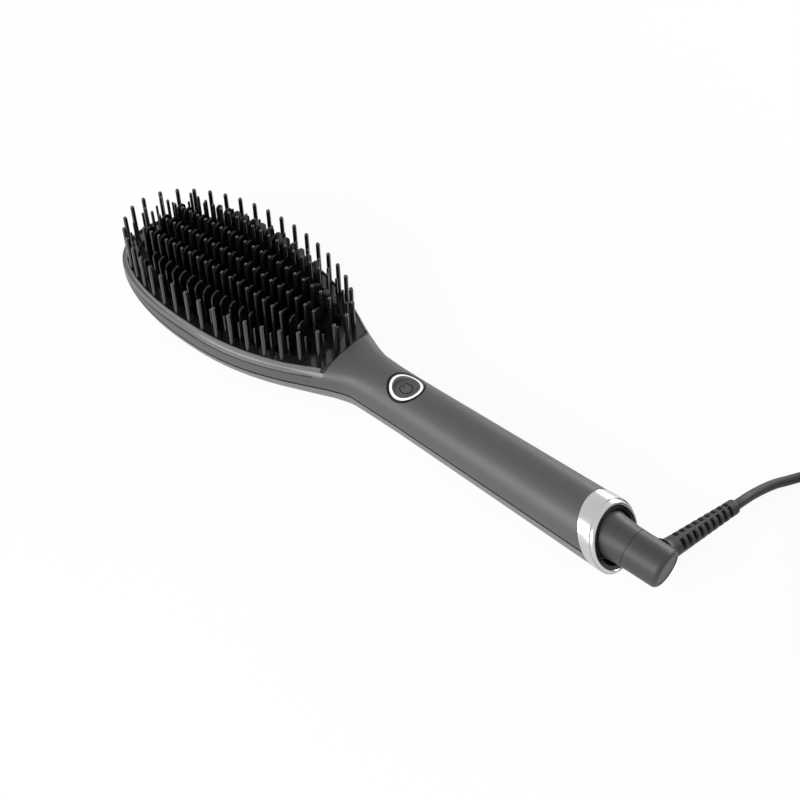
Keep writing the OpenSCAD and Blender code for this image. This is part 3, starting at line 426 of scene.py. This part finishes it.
def worked_metal(name, colour, rough, scale=1500, values=()):
    """plain worked metal: faint clouds in shade and gloss over a fine drawn grain"""
    material, shader, place = new_finish(name)
    clouds, grain = place.noise(90, 3), place.noise(scale, 2)
    feed(shader, {"Base Color": clouds.mix(colour, tuple(c * 0.86 for c in colour[:3]) + (1,)),
                  "Roughness": rough + (clouds - 0.5) * 0.2 + (grain - 0.5) * 0.1,
                  "Normal": place.node("ShaderNodeBump", (), {"Distance": 0.00001,
                                                              "Height": grain})},
         {"Metallic": 1.0, **dict(values)})
    return material


dress(worked_metal("slip_brass", grey(190, (1, 0.82, 0.5)), 0.3), "slip_rings")
dress(worked_metal("contact_copper", grey(184, (1, 0.66, 0.45)), 0.35), "contact_brushes")
spring_steel = worked_metal("spring_steel", grey(176), 0.32)
dress(spring_steel, "retaining_clip")
wire_brown = moulded("wire_brown", grey(92, (1, 0.72, 0.5)), grey(104, (1, 0.72, 0.5)), 0.45,
                     3000, 0.00002)
dress(wire_brown, "supply_leads", "barrel_leads")

dish_black = moulded("dish_black", grey(20), grey(28), 0.22, 3000, 0.00001,
                     values={"Coat Roughness": 0.1})
dress(dish_black, "swivel_housing")

# ---- end ring -------------------------------------------------------------------------------
# Bright plated ring that closes the handle. It is cut on a slant at both edges, and a fine step
# parts its outer band from the narrower, rounded lip.

RING_W, RING_R, RING_BORE, MOUTH_R = 6.2, 14.2, 11.4, 12.2
RING_SIDES = 144
SEAM_LEAN, LIP_LEAN = math.tan(math.radians(32)), math.tan(math.radians(26))
# share of the way from the seam to the lip, mm beyond that, and radius
ring_profile = [(0, 0.35, 11.5), (0, 0.05, 11.8), (0, 0.02, 13.85), (0, 0.1, 14.08),
                (0, 0.3, 14.19), (0.4, 0, RING_R), (0.8, -0.4, RING_R), (1, -1.75, 14.17),
                (1, -1.62, 14.04), (1, -1.58, 13.62), (1, -1.45, 13.56), (1, -0.9, 13.5),
                (1, -0.4, 13.34), (1, -0.12, 13.08), (1, 0, 12.76), (1, -0.03, 12.46),
                (1, -0.2, 12.26), (1, -0.5, MOUTH_R), (1, -1.58, MOUTH_R),
                (1, -1.6, RING_BORE + 0.02), (1, -4, RING_BORE), (0, 0.35, 11.5)]
ring_rows = []
for share, past, r in ring_profile:
    row = []
    for k in range(RING_SIDES):
        a = math.radians(360 / RING_SIDES * k)
        z = r * math.sin(a)
        near, lip = RING_X - z * SEAM_LEAN, RING_X + RING_W - z * LIP_LEAN
        row.append((near + (lip - near) * share + past, r * math.cos(a), AXIS + z))
    ring_rows.append(row)
bright_plate, plate_shader, place = new_finish("bright_plate")
haze = place.noise(70, 3)
feed(plate_shader, {"Base Color": haze.mix(grey(216, (1, 1, 0.985)), grey(230, (1, 1, 0.99))),
                    "Roughness": 0.16 + haze * 0.08,
                    "Normal": place.node("ShaderNodeBump", (), {"Distance": 0.000001,
                                                                "Height": place.noise(2600)})},
     {"Metallic": 1.0})
place_piece(skin_over("bright_ring", ring_rows, ends=False, crease=28), bright_plate, "handset",
            "end_ring", "end_ring")

# ---- lower casing ---------------------------------------------------------------------------
# Back half of the brush, moulded in one piece: a shallow bowl under the head that runs into a
# half round handle, flat where it lies, with six screw wells. A fine dark gap parts it from the
# upper casing.

WALL = 2
NECK_X, NECK_R, GRIP_X, GRIP_R = -3.7, 12, 18, 14
HEAD_FRONT, HEAD_HALF, HEAD_POWER = 65.3, 33.3, 2.1
HEAD_BACK = HEAD_FRONT + 11.5
HEAD_X = NECK_X - HEAD_BACK
CUT_X = HEAD_X + HEAD_FRONT - 1.9
CROWN_X = HEAD_X + 0.11 * HEAD_FRONT
CROWN_R = (CROWN_X - HEAD_X + HEAD_FRONT) ** 2 / (2 * 6.9)
BEZEL_FOOT, BEZEL_TOP = 7.5, 9.5
PART_GAP = 0.2          # half of the gap at the parting line
PARTING_SHADE = 0.45        # half height of the band of painted shade along the parting line
WELL_R, WELL_DEEP, WELL_INSET = 2.4, 4.6, 8.4
HOLE_MARGIN = 1.2       # ring of new faces round a drilled hole
grip_slope = (GRIP_R - NECK_R) / (RING_X - GRIP_X)


def along(x, *stops):
    """straight lines between (x, value) stops"""
    for (a, va), (b, vb) in zip(stops, stops[1:]):
        if x < b:
            return va + (vb - va) * max(0, x - a) / (b - a)
    return stops[-1][1]


def eased(x, *stops):
    """as along, but with a soft start and end to each line"""
    for (a, va), (b, vb) in zip(stops, stops[1:]):
        if x < b:
            t = max(0, x - a) / (b - a)
            return va + (vb - va) * (t * t * (3 - 2 * t))
    return stops[-1][1]


def width(x, inset=0):
    """half width of the casing at the parting line"""
    if x < HEAD_X:
        share = min(1, (HEAD_X - x) / (HEAD_FRONT - inset))
        return (HEAD_HALF - inset) * (1 - share ** HEAD_POWER) ** (1 / HEAD_POWER)
    if x < HEAD_X + HEAD_BACK:
        share = (x - HEAD_X) / HEAD_BACK
        return NECK_R - inset + (HEAD_HALF - NECK_R) * (1 - share ** 2.3) ** 1.5
    return NECK_R - inset + grip_slope * max(0, x - GRIP_X)


def drop(x):
    """how far the head's crown has dropped at x"""
    return (x - CROWN_X) ** 2 / (2 * CROWN_R) if x < CROWN_X else 0


def roof_h(x):
    """height of the upper casing's top above the centre line"""
    if x >= GRIP_X:
        return NECK_R + grip_slope * (x - GRIP_X)
    tip = (1 - min(1, max(0, (HEAD_X - x) / HEAD_FRONT) ** 24)) ** (1 / 12)
    return (eased(x, (CUT_X - 18, 11), (CUT_X, 10.6), (GRIP_X - 6, NECK_R)) - drop(x)) * tip


def roof_n(x):
    """power of the upper casing's section: 2 is round, and more is squarer"""
    return eased(x, (HEAD_X, 4.2), (CUT_X - 18, 4), (CUT_X, 2.9), (GRIP_X - 10, 2))


def back_d(x):
    """depth of the lower casing's section below the centre line"""
    deep = AXIS + 0.3
    if x < HEAD_X:
        return deep * (1 - min(1, (HEAD_X - x) / HEAD_FRONT) ** 2.6) ** (1 / 2.6)
    if x < GRIP_X:
        return eased(x, (CUT_X - 24, deep), (CUT_X - 8, NECK_R + 1.5), (CUT_X + 6, NECK_R + 0.4),
                     (GRIP_X - 10, NECK_R))
    return NECK_R + grip_slope * (x - GRIP_X)


def roof_z(x, y):
    """height of the upper casing's surface above the ground"""
    n = roof_n(x)
    return AXIS + PART_GAP + (roof_h(x) - PART_GAP) * max(0, 1 - abs(y / width(x)) ** n) ** (1 / n)


def back_z(x, y):
    """height of the lower casing's surface above the ground"""
    round_z = PART_GAP + (back_d(x) - PART_GAP) * math.sqrt(max(0, 1 - (y / width(x)) ** 2))
    return max(0, AXIS - round_z)


def stations(spacing):
    """places along X for the casing's rings, close together at the tip"""
    head = [HEAD_X - HEAD_FRONT * math.cos(math.radians(1.2 + 88.8 * (i / 44) ** 1.15))
            for i in range(44)]
    count = round((GRIP_X - HEAD_X) / spacing)
    return head + [HEAD_X + (GRIP_X - HEAD_X) * i / count for i in range(count + 1)]


def seam_point(a, up):
    """where the line at angle a of the handle's section meets the slanted seam"""
    r = GRIP_R / (1 + up * grip_slope * math.sin(a) * SEAM_LEAN)
    z = up * r * math.sin(a)
    return Vector((RING_X - 0.15 - z * SEAM_LEAN, r * math.cos(a), AXIS + z))


def drilled(grid, faces, points, hole, radius, wall, surface):
    """opens a round hole in a grid of point numbers: the faces round it are laid again as rings
    that run from the grid to the hole, and a wall goes down into it"""
    cx, cy = hole
    reach = radius + HOLE_MARGIN
    inside = [(i, j) for i, line in enumerate(grid) for j, n in enumerate(line)
              if n is not None and abs(points[n][0] - cx) < reach
              and abs(points[n][1] - cy) < reach]
    i0, i1 = min(i for i, _ in inside) - 1, max(i for i, _ in inside) + 1
    j0, j1 = min(j for _, j in inside) - 1, max(j for _, j in inside) + 1
    for i in range(i0, i1):
        for j in range(j0, j1):
            faces.pop((i, j), None)
    edge = [(i, j0) for i in range(i0, i1)] + [(i1, j) for j in range(j0, j1)]
    edge += [(i, j1) for i in range(i1, i0, -1)] + [(i0, j) for j in range(j1, j0, -1)]
    loop = [grid[i][j] for i, j in edge]
    rim = []
    for n in loop:
        a = math.atan2(points[n][1] - cy, points[n][0] - cx)
        rim.append((cx + radius * math.cos(a), cy + radius * math.sin(a)))
    loops = [loop]
    for share in (0.25, 0.5, 0.75, 0.92, 1):
        made = []
        for n, (rx, ry) in zip(loop, rim):
            x = points[n][0] + (rx - points[n][0]) * share
            y = points[n][1] + (ry - points[n][1]) * share
            made.append(len(points))
            points.append((x, y, surface(x, y)))
        loops.append(made)
    made = []
    for n in loops[-1]:
        made.append(len(points))
        points.append((points[n][0], points[n][1], points[n][2] + wall))
    loops.append(made)
    count = len(loop)
    for k, (a, b) in enumerate(zip(loops, loops[1:])):
        for j in range(count):
            faces[("hole", cx, cy, k, j)] = (a[j], a[(j + 1) % count], b[(j + 1) % count], b[j])


def grid_faces(grid):
    """faces between the points of a grid, by their place in it"""
    faces = {}
    for i in range(len(grid) - 1):
        for j in range(len(grid[0]) - 1):
            corners = (grid[i][j], grid[i][j + 1], grid[i + 1][j + 1], grid[i + 1][j])
            if None not in corners:
                faces[(i, j)] = corners
    return faces


ARC, BACK_GRIP_ROWS = 88, 40      # points across, and rows along the handle
points, grid = [], []


def add_line(line):
    """adds a row to the grid, where None leaves a point out"""
    grid.append([None if p is None else len(points) + sum(q is not None for q in line[:k])
                 for k, p in enumerate(line)])
    points.extend(p for p in line if p is not None)


for x in stations(1.45):
    line = []
    for j in range(ARC + 1):
        a = math.pi * j / ARC
        z = AXIS - PART_GAP - (back_d(x) - PART_GAP) * math.sin(a)
        line.append((x, width(x) * math.cos(a), max(0, z)))
    add_line(line)
for step in range(1, BACK_GRIP_ROWS + 1):
    t = step / BACK_GRIP_ROWS
    line = []
    for j in range(ARC + 1):
        a = math.pi * j / ARC
        start = Vector((GRIP_X, NECK_R * math.cos(a), AXIS - NECK_R * math.sin(a)))
        p = start.lerp(seam_point(a, -1), t)
        line.append((p.x, p.y, min(p.z, AXIS - PART_GAP)))
    add_line(line)
faces = grid_faces(grid)
well_places = [(HEAD_X + k * HEAD_FRONT, s * (width(HEAD_X + k * HEAD_FRONT) - WELL_INSET))
               for k in (-0.3, 0.475) for s in (-1, 1)] + [(NECK_X + 0.7, 0), (RING_X - 25.6, 0)]
for well in well_places:
    drilled(grid, faces, points, well, WELL_R, WELL_DEEP, back_z)
faces["tip"] = tuple(grid[0])
# the rim turns in at the parting line, so that the gap reads as a dark line with depth
count = len(points)
for line in grid:
    for j, side in ((0, -1), (ARC, 1)):
        x, y, z = points[line[j]]
        points.append((x, y + side * min(WALL, abs(y)), z))
for i in range(len(grid) - 1):
    for j, k in ((0, 0), (ARC, 1)):
        faces[("rim", i, k)] = (grid[i][j], grid[i + 1][j], count + 2 * (i + 1) + k,
                                count + 2 * i + k)


CREASE_Z, CREASE_SHADE = 5.6, 0.6        # height above the centre line, and of the painted shade line at it


def casing_finish(name, base, polished_head):
    """the casing's soft-touch coat, with painted shade along the parting line; with polished_head
    it turns to gloss on the head's side wall above the crease, and the crease gets a painted shade
    line"""
    material, shader, place = new_finish(name)
    clouds, fine, dust = place.noise(18, 3), place.noise(7200, 2, 0.6), place.noise(900, 3)
    coat = clouds.mix(base, tuple(c * 0.93 for c in base[:3]) + (1,))
    rough = 0.42 + (clouds - 0.5) * 0.08 + (fine - 0.5) * 0.1
    bump = place.node("ShaderNodeBump", (), {"Distance": 0.000012, "Height": fine + dust * 0.3})
    x, z = place.part(0), place.part(2)
    if polished_head:
        past = (CROWN_X - x).at_least(0)
        above = z - (AXIS + CREASE_Z) + past * past * (1 / (2 * CROWN_R))
        shiny = (above > 0) * (x < CUT_X)
        # painted shade: a dark line along the crease under the polished wall
        line = (above > -CREASE_SHADE) * (above < CREASE_SHADE / 4) * (x < CUT_X - 4)
        rough = rough * (1 - shiny) + shiny * (0.12 + (clouds - 0.5) * 0.04)
        coat = line.mix(shiny.mix(coat, grey(118)), grey(44))
    # painted shade: a near-black band along the parting line stands in for the shade in the gap
    parting = (z > AXIS - PARTING_SHADE) * (z < AXIS + PARTING_SHADE)
    coat = parting.mix(coat, grey(14))
    feed(shader, {"Base Color": coat, "Roughness": rough, "Normal": bump})
    return material


# painted light: this coat is made lighter than the upper casing's to stand in for light bounced up
# from the ground
lower_coat_bounce_lit = casing_finish("lower_coat_bounce_lit", grey(134), False)
place_piece(solid_of("back_casing", points, list(faces.values()), 40), lower_coat_bounce_lit, "handset",
            "casing_lower", "lower_casing")

# ---- upper casing ---------------------------------------------------------------------------
# Front half: side walls round the head that end under the bezel, and a half round neck and handle
# with the button's hole. Soft-touch coated, and polished on the head above a fine crease.

SIDE, ARCH, GRIP_ROWS = 22, 50, 48      # points up each side and over the arch, rows on the handle
CREASE_STEP, CREASE_HALF = 0.22, 0.12   # depth and half height of the step at the crease
TUCK = 0.15                             # how far the side wall's top stays below the bezel's foot
BUTTON_X, HOLE_R, HOLE_DEEP = 15.7, 8.12, 2.2
points, grid = [], []
upper_stations = [x for x in stations(1.3) if abs(x - CUT_X) > 0.5]
upper_stations = sorted(upper_stations + [CUT_X])


def side_share(j, height):
    """height of row j of the side wall, between the parting line and the bezel's foot"""
    crease = CREASE_Z / (BEZEL_FOOT - TUCK) * height
    half = SIDE // 2
    if j < half:
        return (crease - CREASE_HALF) * j / (half - 1)
    return crease + CREASE_HALF + (height - crease - CREASE_HALF) * (j - half) / (SIDE - half)


def upper_line(x, closed):
    """one section of the upper casing, from one side to the other; closed has its arch"""
    w, h, n = width(x), roof_h(x), roof_n(x)
    foot = max(0.1, BEZEL_FOOT - TUCK - drop(x))
    foot = min(foot, 0.97 * h)
    wall = []
    fade = along(x, (CUT_X - 14, 1), (CUT_X - 1, 0))
    for j in range(SIDE + 1):
        z = side_share(j, foot)
        y = w * (1 - (z / h) ** n) ** (1 / n)
        # the polished wall stands back a little from the coat below its crease
        y -= CREASE_STEP * fade * (j >= SIDE // 2) * min(1, w / 12)
        wall.append((y, z + PART_GAP * (1 - z / h)))
    arch = []
    start = math.atan2(foot / h, (1 - (foot / h) ** n) ** (1 / n))
    for j in range(1, ARCH):
        a = start + (math.pi - 2 * start) * j / ARCH
        c, s = math.cos(a), math.sin(a)
        k = (abs(c) ** n + s ** n) ** (-1 / n)
        arch.append((w * c * k, h * s * k))
    middle = [(x, y, AXIS + z) for y, z in arch] if closed else [None] * len(arch)
    return ([(x, y, AXIS + z) for y, z in wall] + middle
            + [(x, -y, AXIS + z) for y, z in reversed(wall)])


for x in upper_stations:
    add_line(upper_line(x, x >= CUT_X))
grip_line = [points[n] for n in grid[-1]]
for step in range(1, GRIP_ROWS + 1):
    t = step / GRIP_ROWS
    line = []
    for p in grip_line:
        a = math.atan2(p[2] - AXIS, p[1])
        q = Vector(p).lerp(seam_point(a, 1), t)
        line.append((q.x, q.y, max(q.z, AXIS + PART_GAP)))
    add_line(line)
faces = grid_faces(grid)
drilled(grid, faces, points, (BUTTON_X, 0), HOLE_R, -HOLE_DEEP, roof_z)
cut_line = grid[upper_stations.index(CUT_X)]
faces["step"] = tuple(cut_line[SIDE:-SIDE])
# the wall's top edge turns in under the bezel, and the rim turns in at the parting line
count = len(points)
for i, line in enumerate(grid):
    for j, side in ((0, -1), (SIDE, -1), (-1 - SIDE, 1), (-1, 1)):
        x, y, z = points[line[j]]
        points.append((x, y + side * min(WALL, abs(y)), z))
for i in range(len(grid) - 1):
    for k, j in enumerate((0, SIDE, -1 - SIDE, -1)):
        if k in (0, 3) or upper_stations[min(i, len(upper_stations) - 1)] < CUT_X:
            faces[("rim", i, k)] = (grid[i][j], grid[i + 1][j], count + 4 * (i + 1) + k,
                                    count + 4 * i + k)
upper_coat = casing_finish("upper_coat", grey(97), True)
place_piece(solid_of("front_casing", points, list(faces.values()), 40), upper_coat, "handset",
            "casing_upper", "upper_casing")

# ---- bezel ----------------------------------------------------------------------------------
# Glossy rim that holds the pin field: it follows the head's crown and ends in a straight bar
# across the neck. Moulded with a rounded top edge, and pressed on.

FIELD_STEPS = 60
BEZEL_W = 2.6           # width of the rim on top


def skin_y(x, z):
    """half width of the upper casing at height z above the centre line"""
    n = roof_n(x)
    return width(x) * max(0, 1 - min(1, z / roof_h(x)) ** n) ** (1 / n)


field_shift = HEAD_HALF - skin_y(HEAD_X, BEZEL_FOOT)


def field_loop(inset, x_end, level):
    """a closed line round the pin field, inset mm inside the head's widest outline"""
    side = []
    for i in range(FIELD_STEPS + 1):
        x = HEAD_X - (HEAD_FRONT - inset) * math.cos(math.pi / 2 * i / FIELD_STEPS)
        side.append((x, width(x, inset)))
    for i in range(1, FIELD_STEPS + 1):
        x = HEAD_X + (x_end - HEAD_X) * i / FIELD_STEPS
        side.append((x, skin_y(x, BEZEL_FOOT) - inset + field_shift))
    half = [(x, y, AXIS + level - drop(x)) for x, y in side]
    return half + [(x, -y, z) for x, y, z in reversed(half[1:])]


bar_out, bar_in = CUT_X - 0.15, CUT_X - 1.35
bezel_rows = [field_loop(field_shift + i, bar_out - e, z) for i, e, z in
              ((0, 0, BEZEL_FOOT), (0.06, 0, BEZEL_FOOT + 0.8), (0.2, 0.02, BEZEL_TOP - 0.32),
               (0.25, 0.06, BEZEL_TOP - 0.16), (0.33, 0.16, BEZEL_TOP - 0.04),
               (0.42, 0.3, BEZEL_TOP))]
bezel_rows += [field_loop(BEZEL_W - 0.04, bar_in + 0.04, BEZEL_TOP),
               field_loop(BEZEL_W, bar_in, BEZEL_TOP - 0.08),
               field_loop(BEZEL_W, bar_in, BEZEL_FOOT), bezel_rows[0]]
bezel_gloss, bezel_shader, place = new_finish("bezel_gloss")
clouds, fine = place.noise(55, 3), place.noise(1400)
# the bar across the neck and its inner face are near black: the bar's own black, with painted
# shade on its inner face
bar_black_and_shade = (place.part(0) > bar_in - 0.3) * (place.part(0) < bar_out - 0.04)
feed(bezel_shader, {"Base Color": bar_black_and_shade.mix(clouds.mix(grey(112), grey(120)), grey(10)),
                    "Roughness": 0.18 + fine * 0.05,
                    "Normal": place.node("ShaderNodeBump", (), {"Distance": 0.000003,
                                                                "Height": fine})},
     {"Coat Weight": 0.3, "Coat Roughness": 0.08})
place_piece(skin_over("glossy_bezel", bezel_rows, ends=False, crease=30), bezel_gloss, "handset",
            "bezel", "head_bezel")

# ---- pins, heated plate and fins --------------------------------------------------------------
# Pins are moulded in black heat-proof nylon: tall and short ones round the edge on their own
# frames, and four rows on a carrier that come up through the heated plate. Plate and fins are one
# aluminium casting with a black ceramic coat.

pin_black = moulded("pin_black", grey(22), grey(30), 0.2, 2200, 0.000006, 0.08,
                    {"Coat Weight": 0.8, "Coat Roughness": 0.05})
dress(pin_black, "long_pin_frame", "short_pin_frame", "centre_pin_carrier")
fin_ceramic = moulded("fin_ceramic", grey(12), grey(20), 0.16, 3200, 0.000006, 0.1)
dress(fin_ceramic, "heater_plate")

# ---- button, light ring and its housing -------------------------------------------------------
# A soft-touch cap with an engraved power mark, in a clear ring lit from below in cool white, in a
# glossy black housing.

BORE_GLOW = 5.95        # inside this radius the light ring's wall is only dimly lit
MARK_FLOOR = 9.5        # height above the centre line below which the cap is engraved
cap_coat, cap_shader, place = new_finish("button_coat")
fine = place.noise(6000)
engraved = place.part(2) < AXIS + MARK_FLOOR
feed(cap_shader, {"Base Color": engraved.mix(fine.mix(grey(92), grey(102)), grey(8)),
                  "Roughness": 0.36 + fine * 0.12,
                  "Normal": place.node("ShaderNodeBump", (), {"Distance": 0.00001,
                                                              "Height": fine})})
dress(cap_coat, "power_button")
dress(moulded("housing_black", grey(5), grey(8), 0.3, 2600, 0.000005,
              values={"Specular IOR Level": 0.25}), "button_housing")
glow, glow_shader, place = new_finish("ring_glow")
warmer = place.noise(140, 1)
across, along_x = place.part(1), place.part(0) - BUTTON_X
inner_wall = (across * across + along_x * along_x) < BORE_GLOW * BORE_GLOW
shell = warmer.mix(grey(228, (0.97, 0.97, 1)), grey(240))
lit = warmer.mix(grey(222, (0.92, 0.91, 1)), grey(250, (0.98, 0.98, 1)))
feed(glow_shader, {"Base Color": inner_wall.mix(shell, grey(120, (0.97, 0.95, 1))),
                   "Emission Color": inner_wall.mix(lit, grey(70, (0.9, 0.88, 1))),
                   "Roughness": 0.22 + warmer * 0.1}, {"Emission Strength": 0.75})
dress(glow, "light_ring")
dress(moulded("plunger_white", grey(214), grey(224), 0.4, 2600, 0.00002), "switch_plunger")
dress(moulded("switch_black", grey(36), grey(44), 0.45, 2600, 0.00002), "tact_switch")
dress(moulded("led_white", grey(228), grey(240), 0.3, 1500, 0.00001), "status_leds")

# ---- heater stack inside the head -------------------------------------------------------------
# Under the plate lie two elements in the carrier's windows, their insulation, a spring clamp, a
# mica shield and two screws, with the sensor and the fuse below.

dress(moulded("element_ceramic", grey(196, (1, 0.84, 0.5)), grey(206, (1, 0.86, 0.55)), 0.6,
              1800, 0.00004), "heater_elements")
dress(moulded("polyimide", grey(186, (1, 0.66, 0.25)), grey(198, (1, 0.7, 0.3)), 0.25, 900,
              0.00001), "element_insulator")
dress(spring_steel, "heater_clamp")
dress(moulded("mica", grey(196, (1, 0.97, 0.88)), grey(216, (1, 0.97, 0.9)), 0.35, 500, 0.00005,
              0.2), "heat_shield")
zinc = worked_metal("zinc_screw", grey(188), 0.34)
dress(zinc, "heater_screws", "board_screws", "casing_screws")
dress(moulded("sensor_glass", grey(150, (1, 0.6, 0.36)), grey(160, (1, 0.64, 0.4)), 0.2, 900,
              0.00001), "thermistor")
dress(worked_metal("fuse_case", grey(204), 0.26), "thermal_fuse")
dress(moulded("wire_red", grey(150, (1, 0.3, 0.26)), grey(160, (1, 0.34, 0.3)), 0.5, 3000,
              0.00002), "heater_leads")

# ---- controls inside the handle ---------------------------------------------------------------
# Glass-fibre board with the mains parts at its back end and the control parts near the button.

board_green, board_shader, place = new_finish("board_green")
weave = place.node("ShaderNodeTexChecker", (), {"Vector": place, "Scale": 1400}, 1)
clouds = place.noise(260, 3)
feed(board_shader, {"Base Color": clouds.mix(grey(78, (0.3, 1, 0.5)), grey(92, (0.3, 1, 0.5))),
                    "Roughness": 0.3 + clouds * 0.15,
                    "Normal": place.node("ShaderNodeBump", (), {"Distance": 0.00002,
                                                                "Height": weave})})
dress(board_green, "control_board")
dress(moulded("mains_parts", grey(92, (0.7, 0.85, 1)), grey(104, (0.7, 0.85, 1)), 0.4, 1600,
              0.00003), "power_components")
dress(moulded("chip_epoxy", grey(34), grey(42), 0.5, 2600, 0.00003), "control_components")

# ---- floor and light ----------------------------------------------------------------------------
# White seamless ground that keeps a faint shadow, a broad low light on the near side, a weaker one
# behind the brush, and an even surround that is white where it is seen.

white_ground = bpy.data.materials.new("white_ground")
white_ground.use_nodes = True
tree = white_ground.node_tree
ground_shader = tree.nodes["Principled BSDF"]
feed(ground_shader, (), {"Base Color": (0.9, 0.9, 0.9, 1), "Roughness": 0.9,
                         "Specular IOR Level": 0.0})
ray = tree.nodes.new("ShaderNodeLightPath")
seen = Wire(tree, ray.outputs["Is Camera Ray"])
glossy_seen = Wire(tree, ray.outputs["Is Glossy Ray"])
paper = seen.node("ShaderNodeEmission", (), {"Color": (1, 1, 1, 1), "Strength": 1.05})
shown = seen.node("ShaderNodeMixShader", (), {0: (seen * 0.88 + glossy_seen * 0.5).clamp(),
                                              1: Wire(tree, ground_shader.outputs[0]), 2: paper})
tree.links.new(shown.socket, tree.nodes["Material Output"].inputs["Surface"])
GROUND, GROUND_Z = 2500, -0.02
ground = skin_over("ground", [[(x, y, GROUND_Z) for x in (-GROUND, GROUND)]
                              for y in (-GROUND, GROUND)], wrap=False, ends=False)
bpy.context.scene.collection.objects.link(ground)
ground.data.materials.append(white_ground)

surround = bpy.data.worlds.new("surround")
bpy.context.scene.world = surround
surround.use_nodes = True
tree = surround.node_tree
ray = tree.nodes.new("ShaderNodeLightPath")
seen = Wire(tree, ray.outputs["Is Camera Ray"])
glossy_seen = Wire(tree, ray.outputs["Is Glossy Ray"])
tree.nodes["Background"].inputs["Color"].default_value = (1, 1, 1, 1)
tree.links.new((seen * 0.7 + glossy_seen * 0.4 + 0.3).socket,
               tree.nodes["Background"].inputs["Strength"])


def soft_light(name, where, aim, size, power):
    """a rectangular lamp at where that faces aim"""
    lamp = bpy.data.lights.new(name, "AREA")
    lamp.shape, lamp.size, lamp.size_y, lamp.energy = "RECTANGLE", size[0], size[1], power
    holder = bpy.data.objects.new(name, lamp)
    bpy.context.scene.collection.objects.link(holder)
    holder.location = where
    holder.rotation_euler = (Vector(aim) - Vector(where)).to_track_quat("-Z", "Y").to_euler()


soft_light("near_light", (-0.1, -0.92, 0.46), (-0.02, 0, 0.02), (1, 0.55), 8)
soft_light("far_light", (0.15, 1, 0.24), (0, 0, 0.02), (0.8, 0.25), 6)

bpy.context.scene.view_settings.view_transform = "Standard"
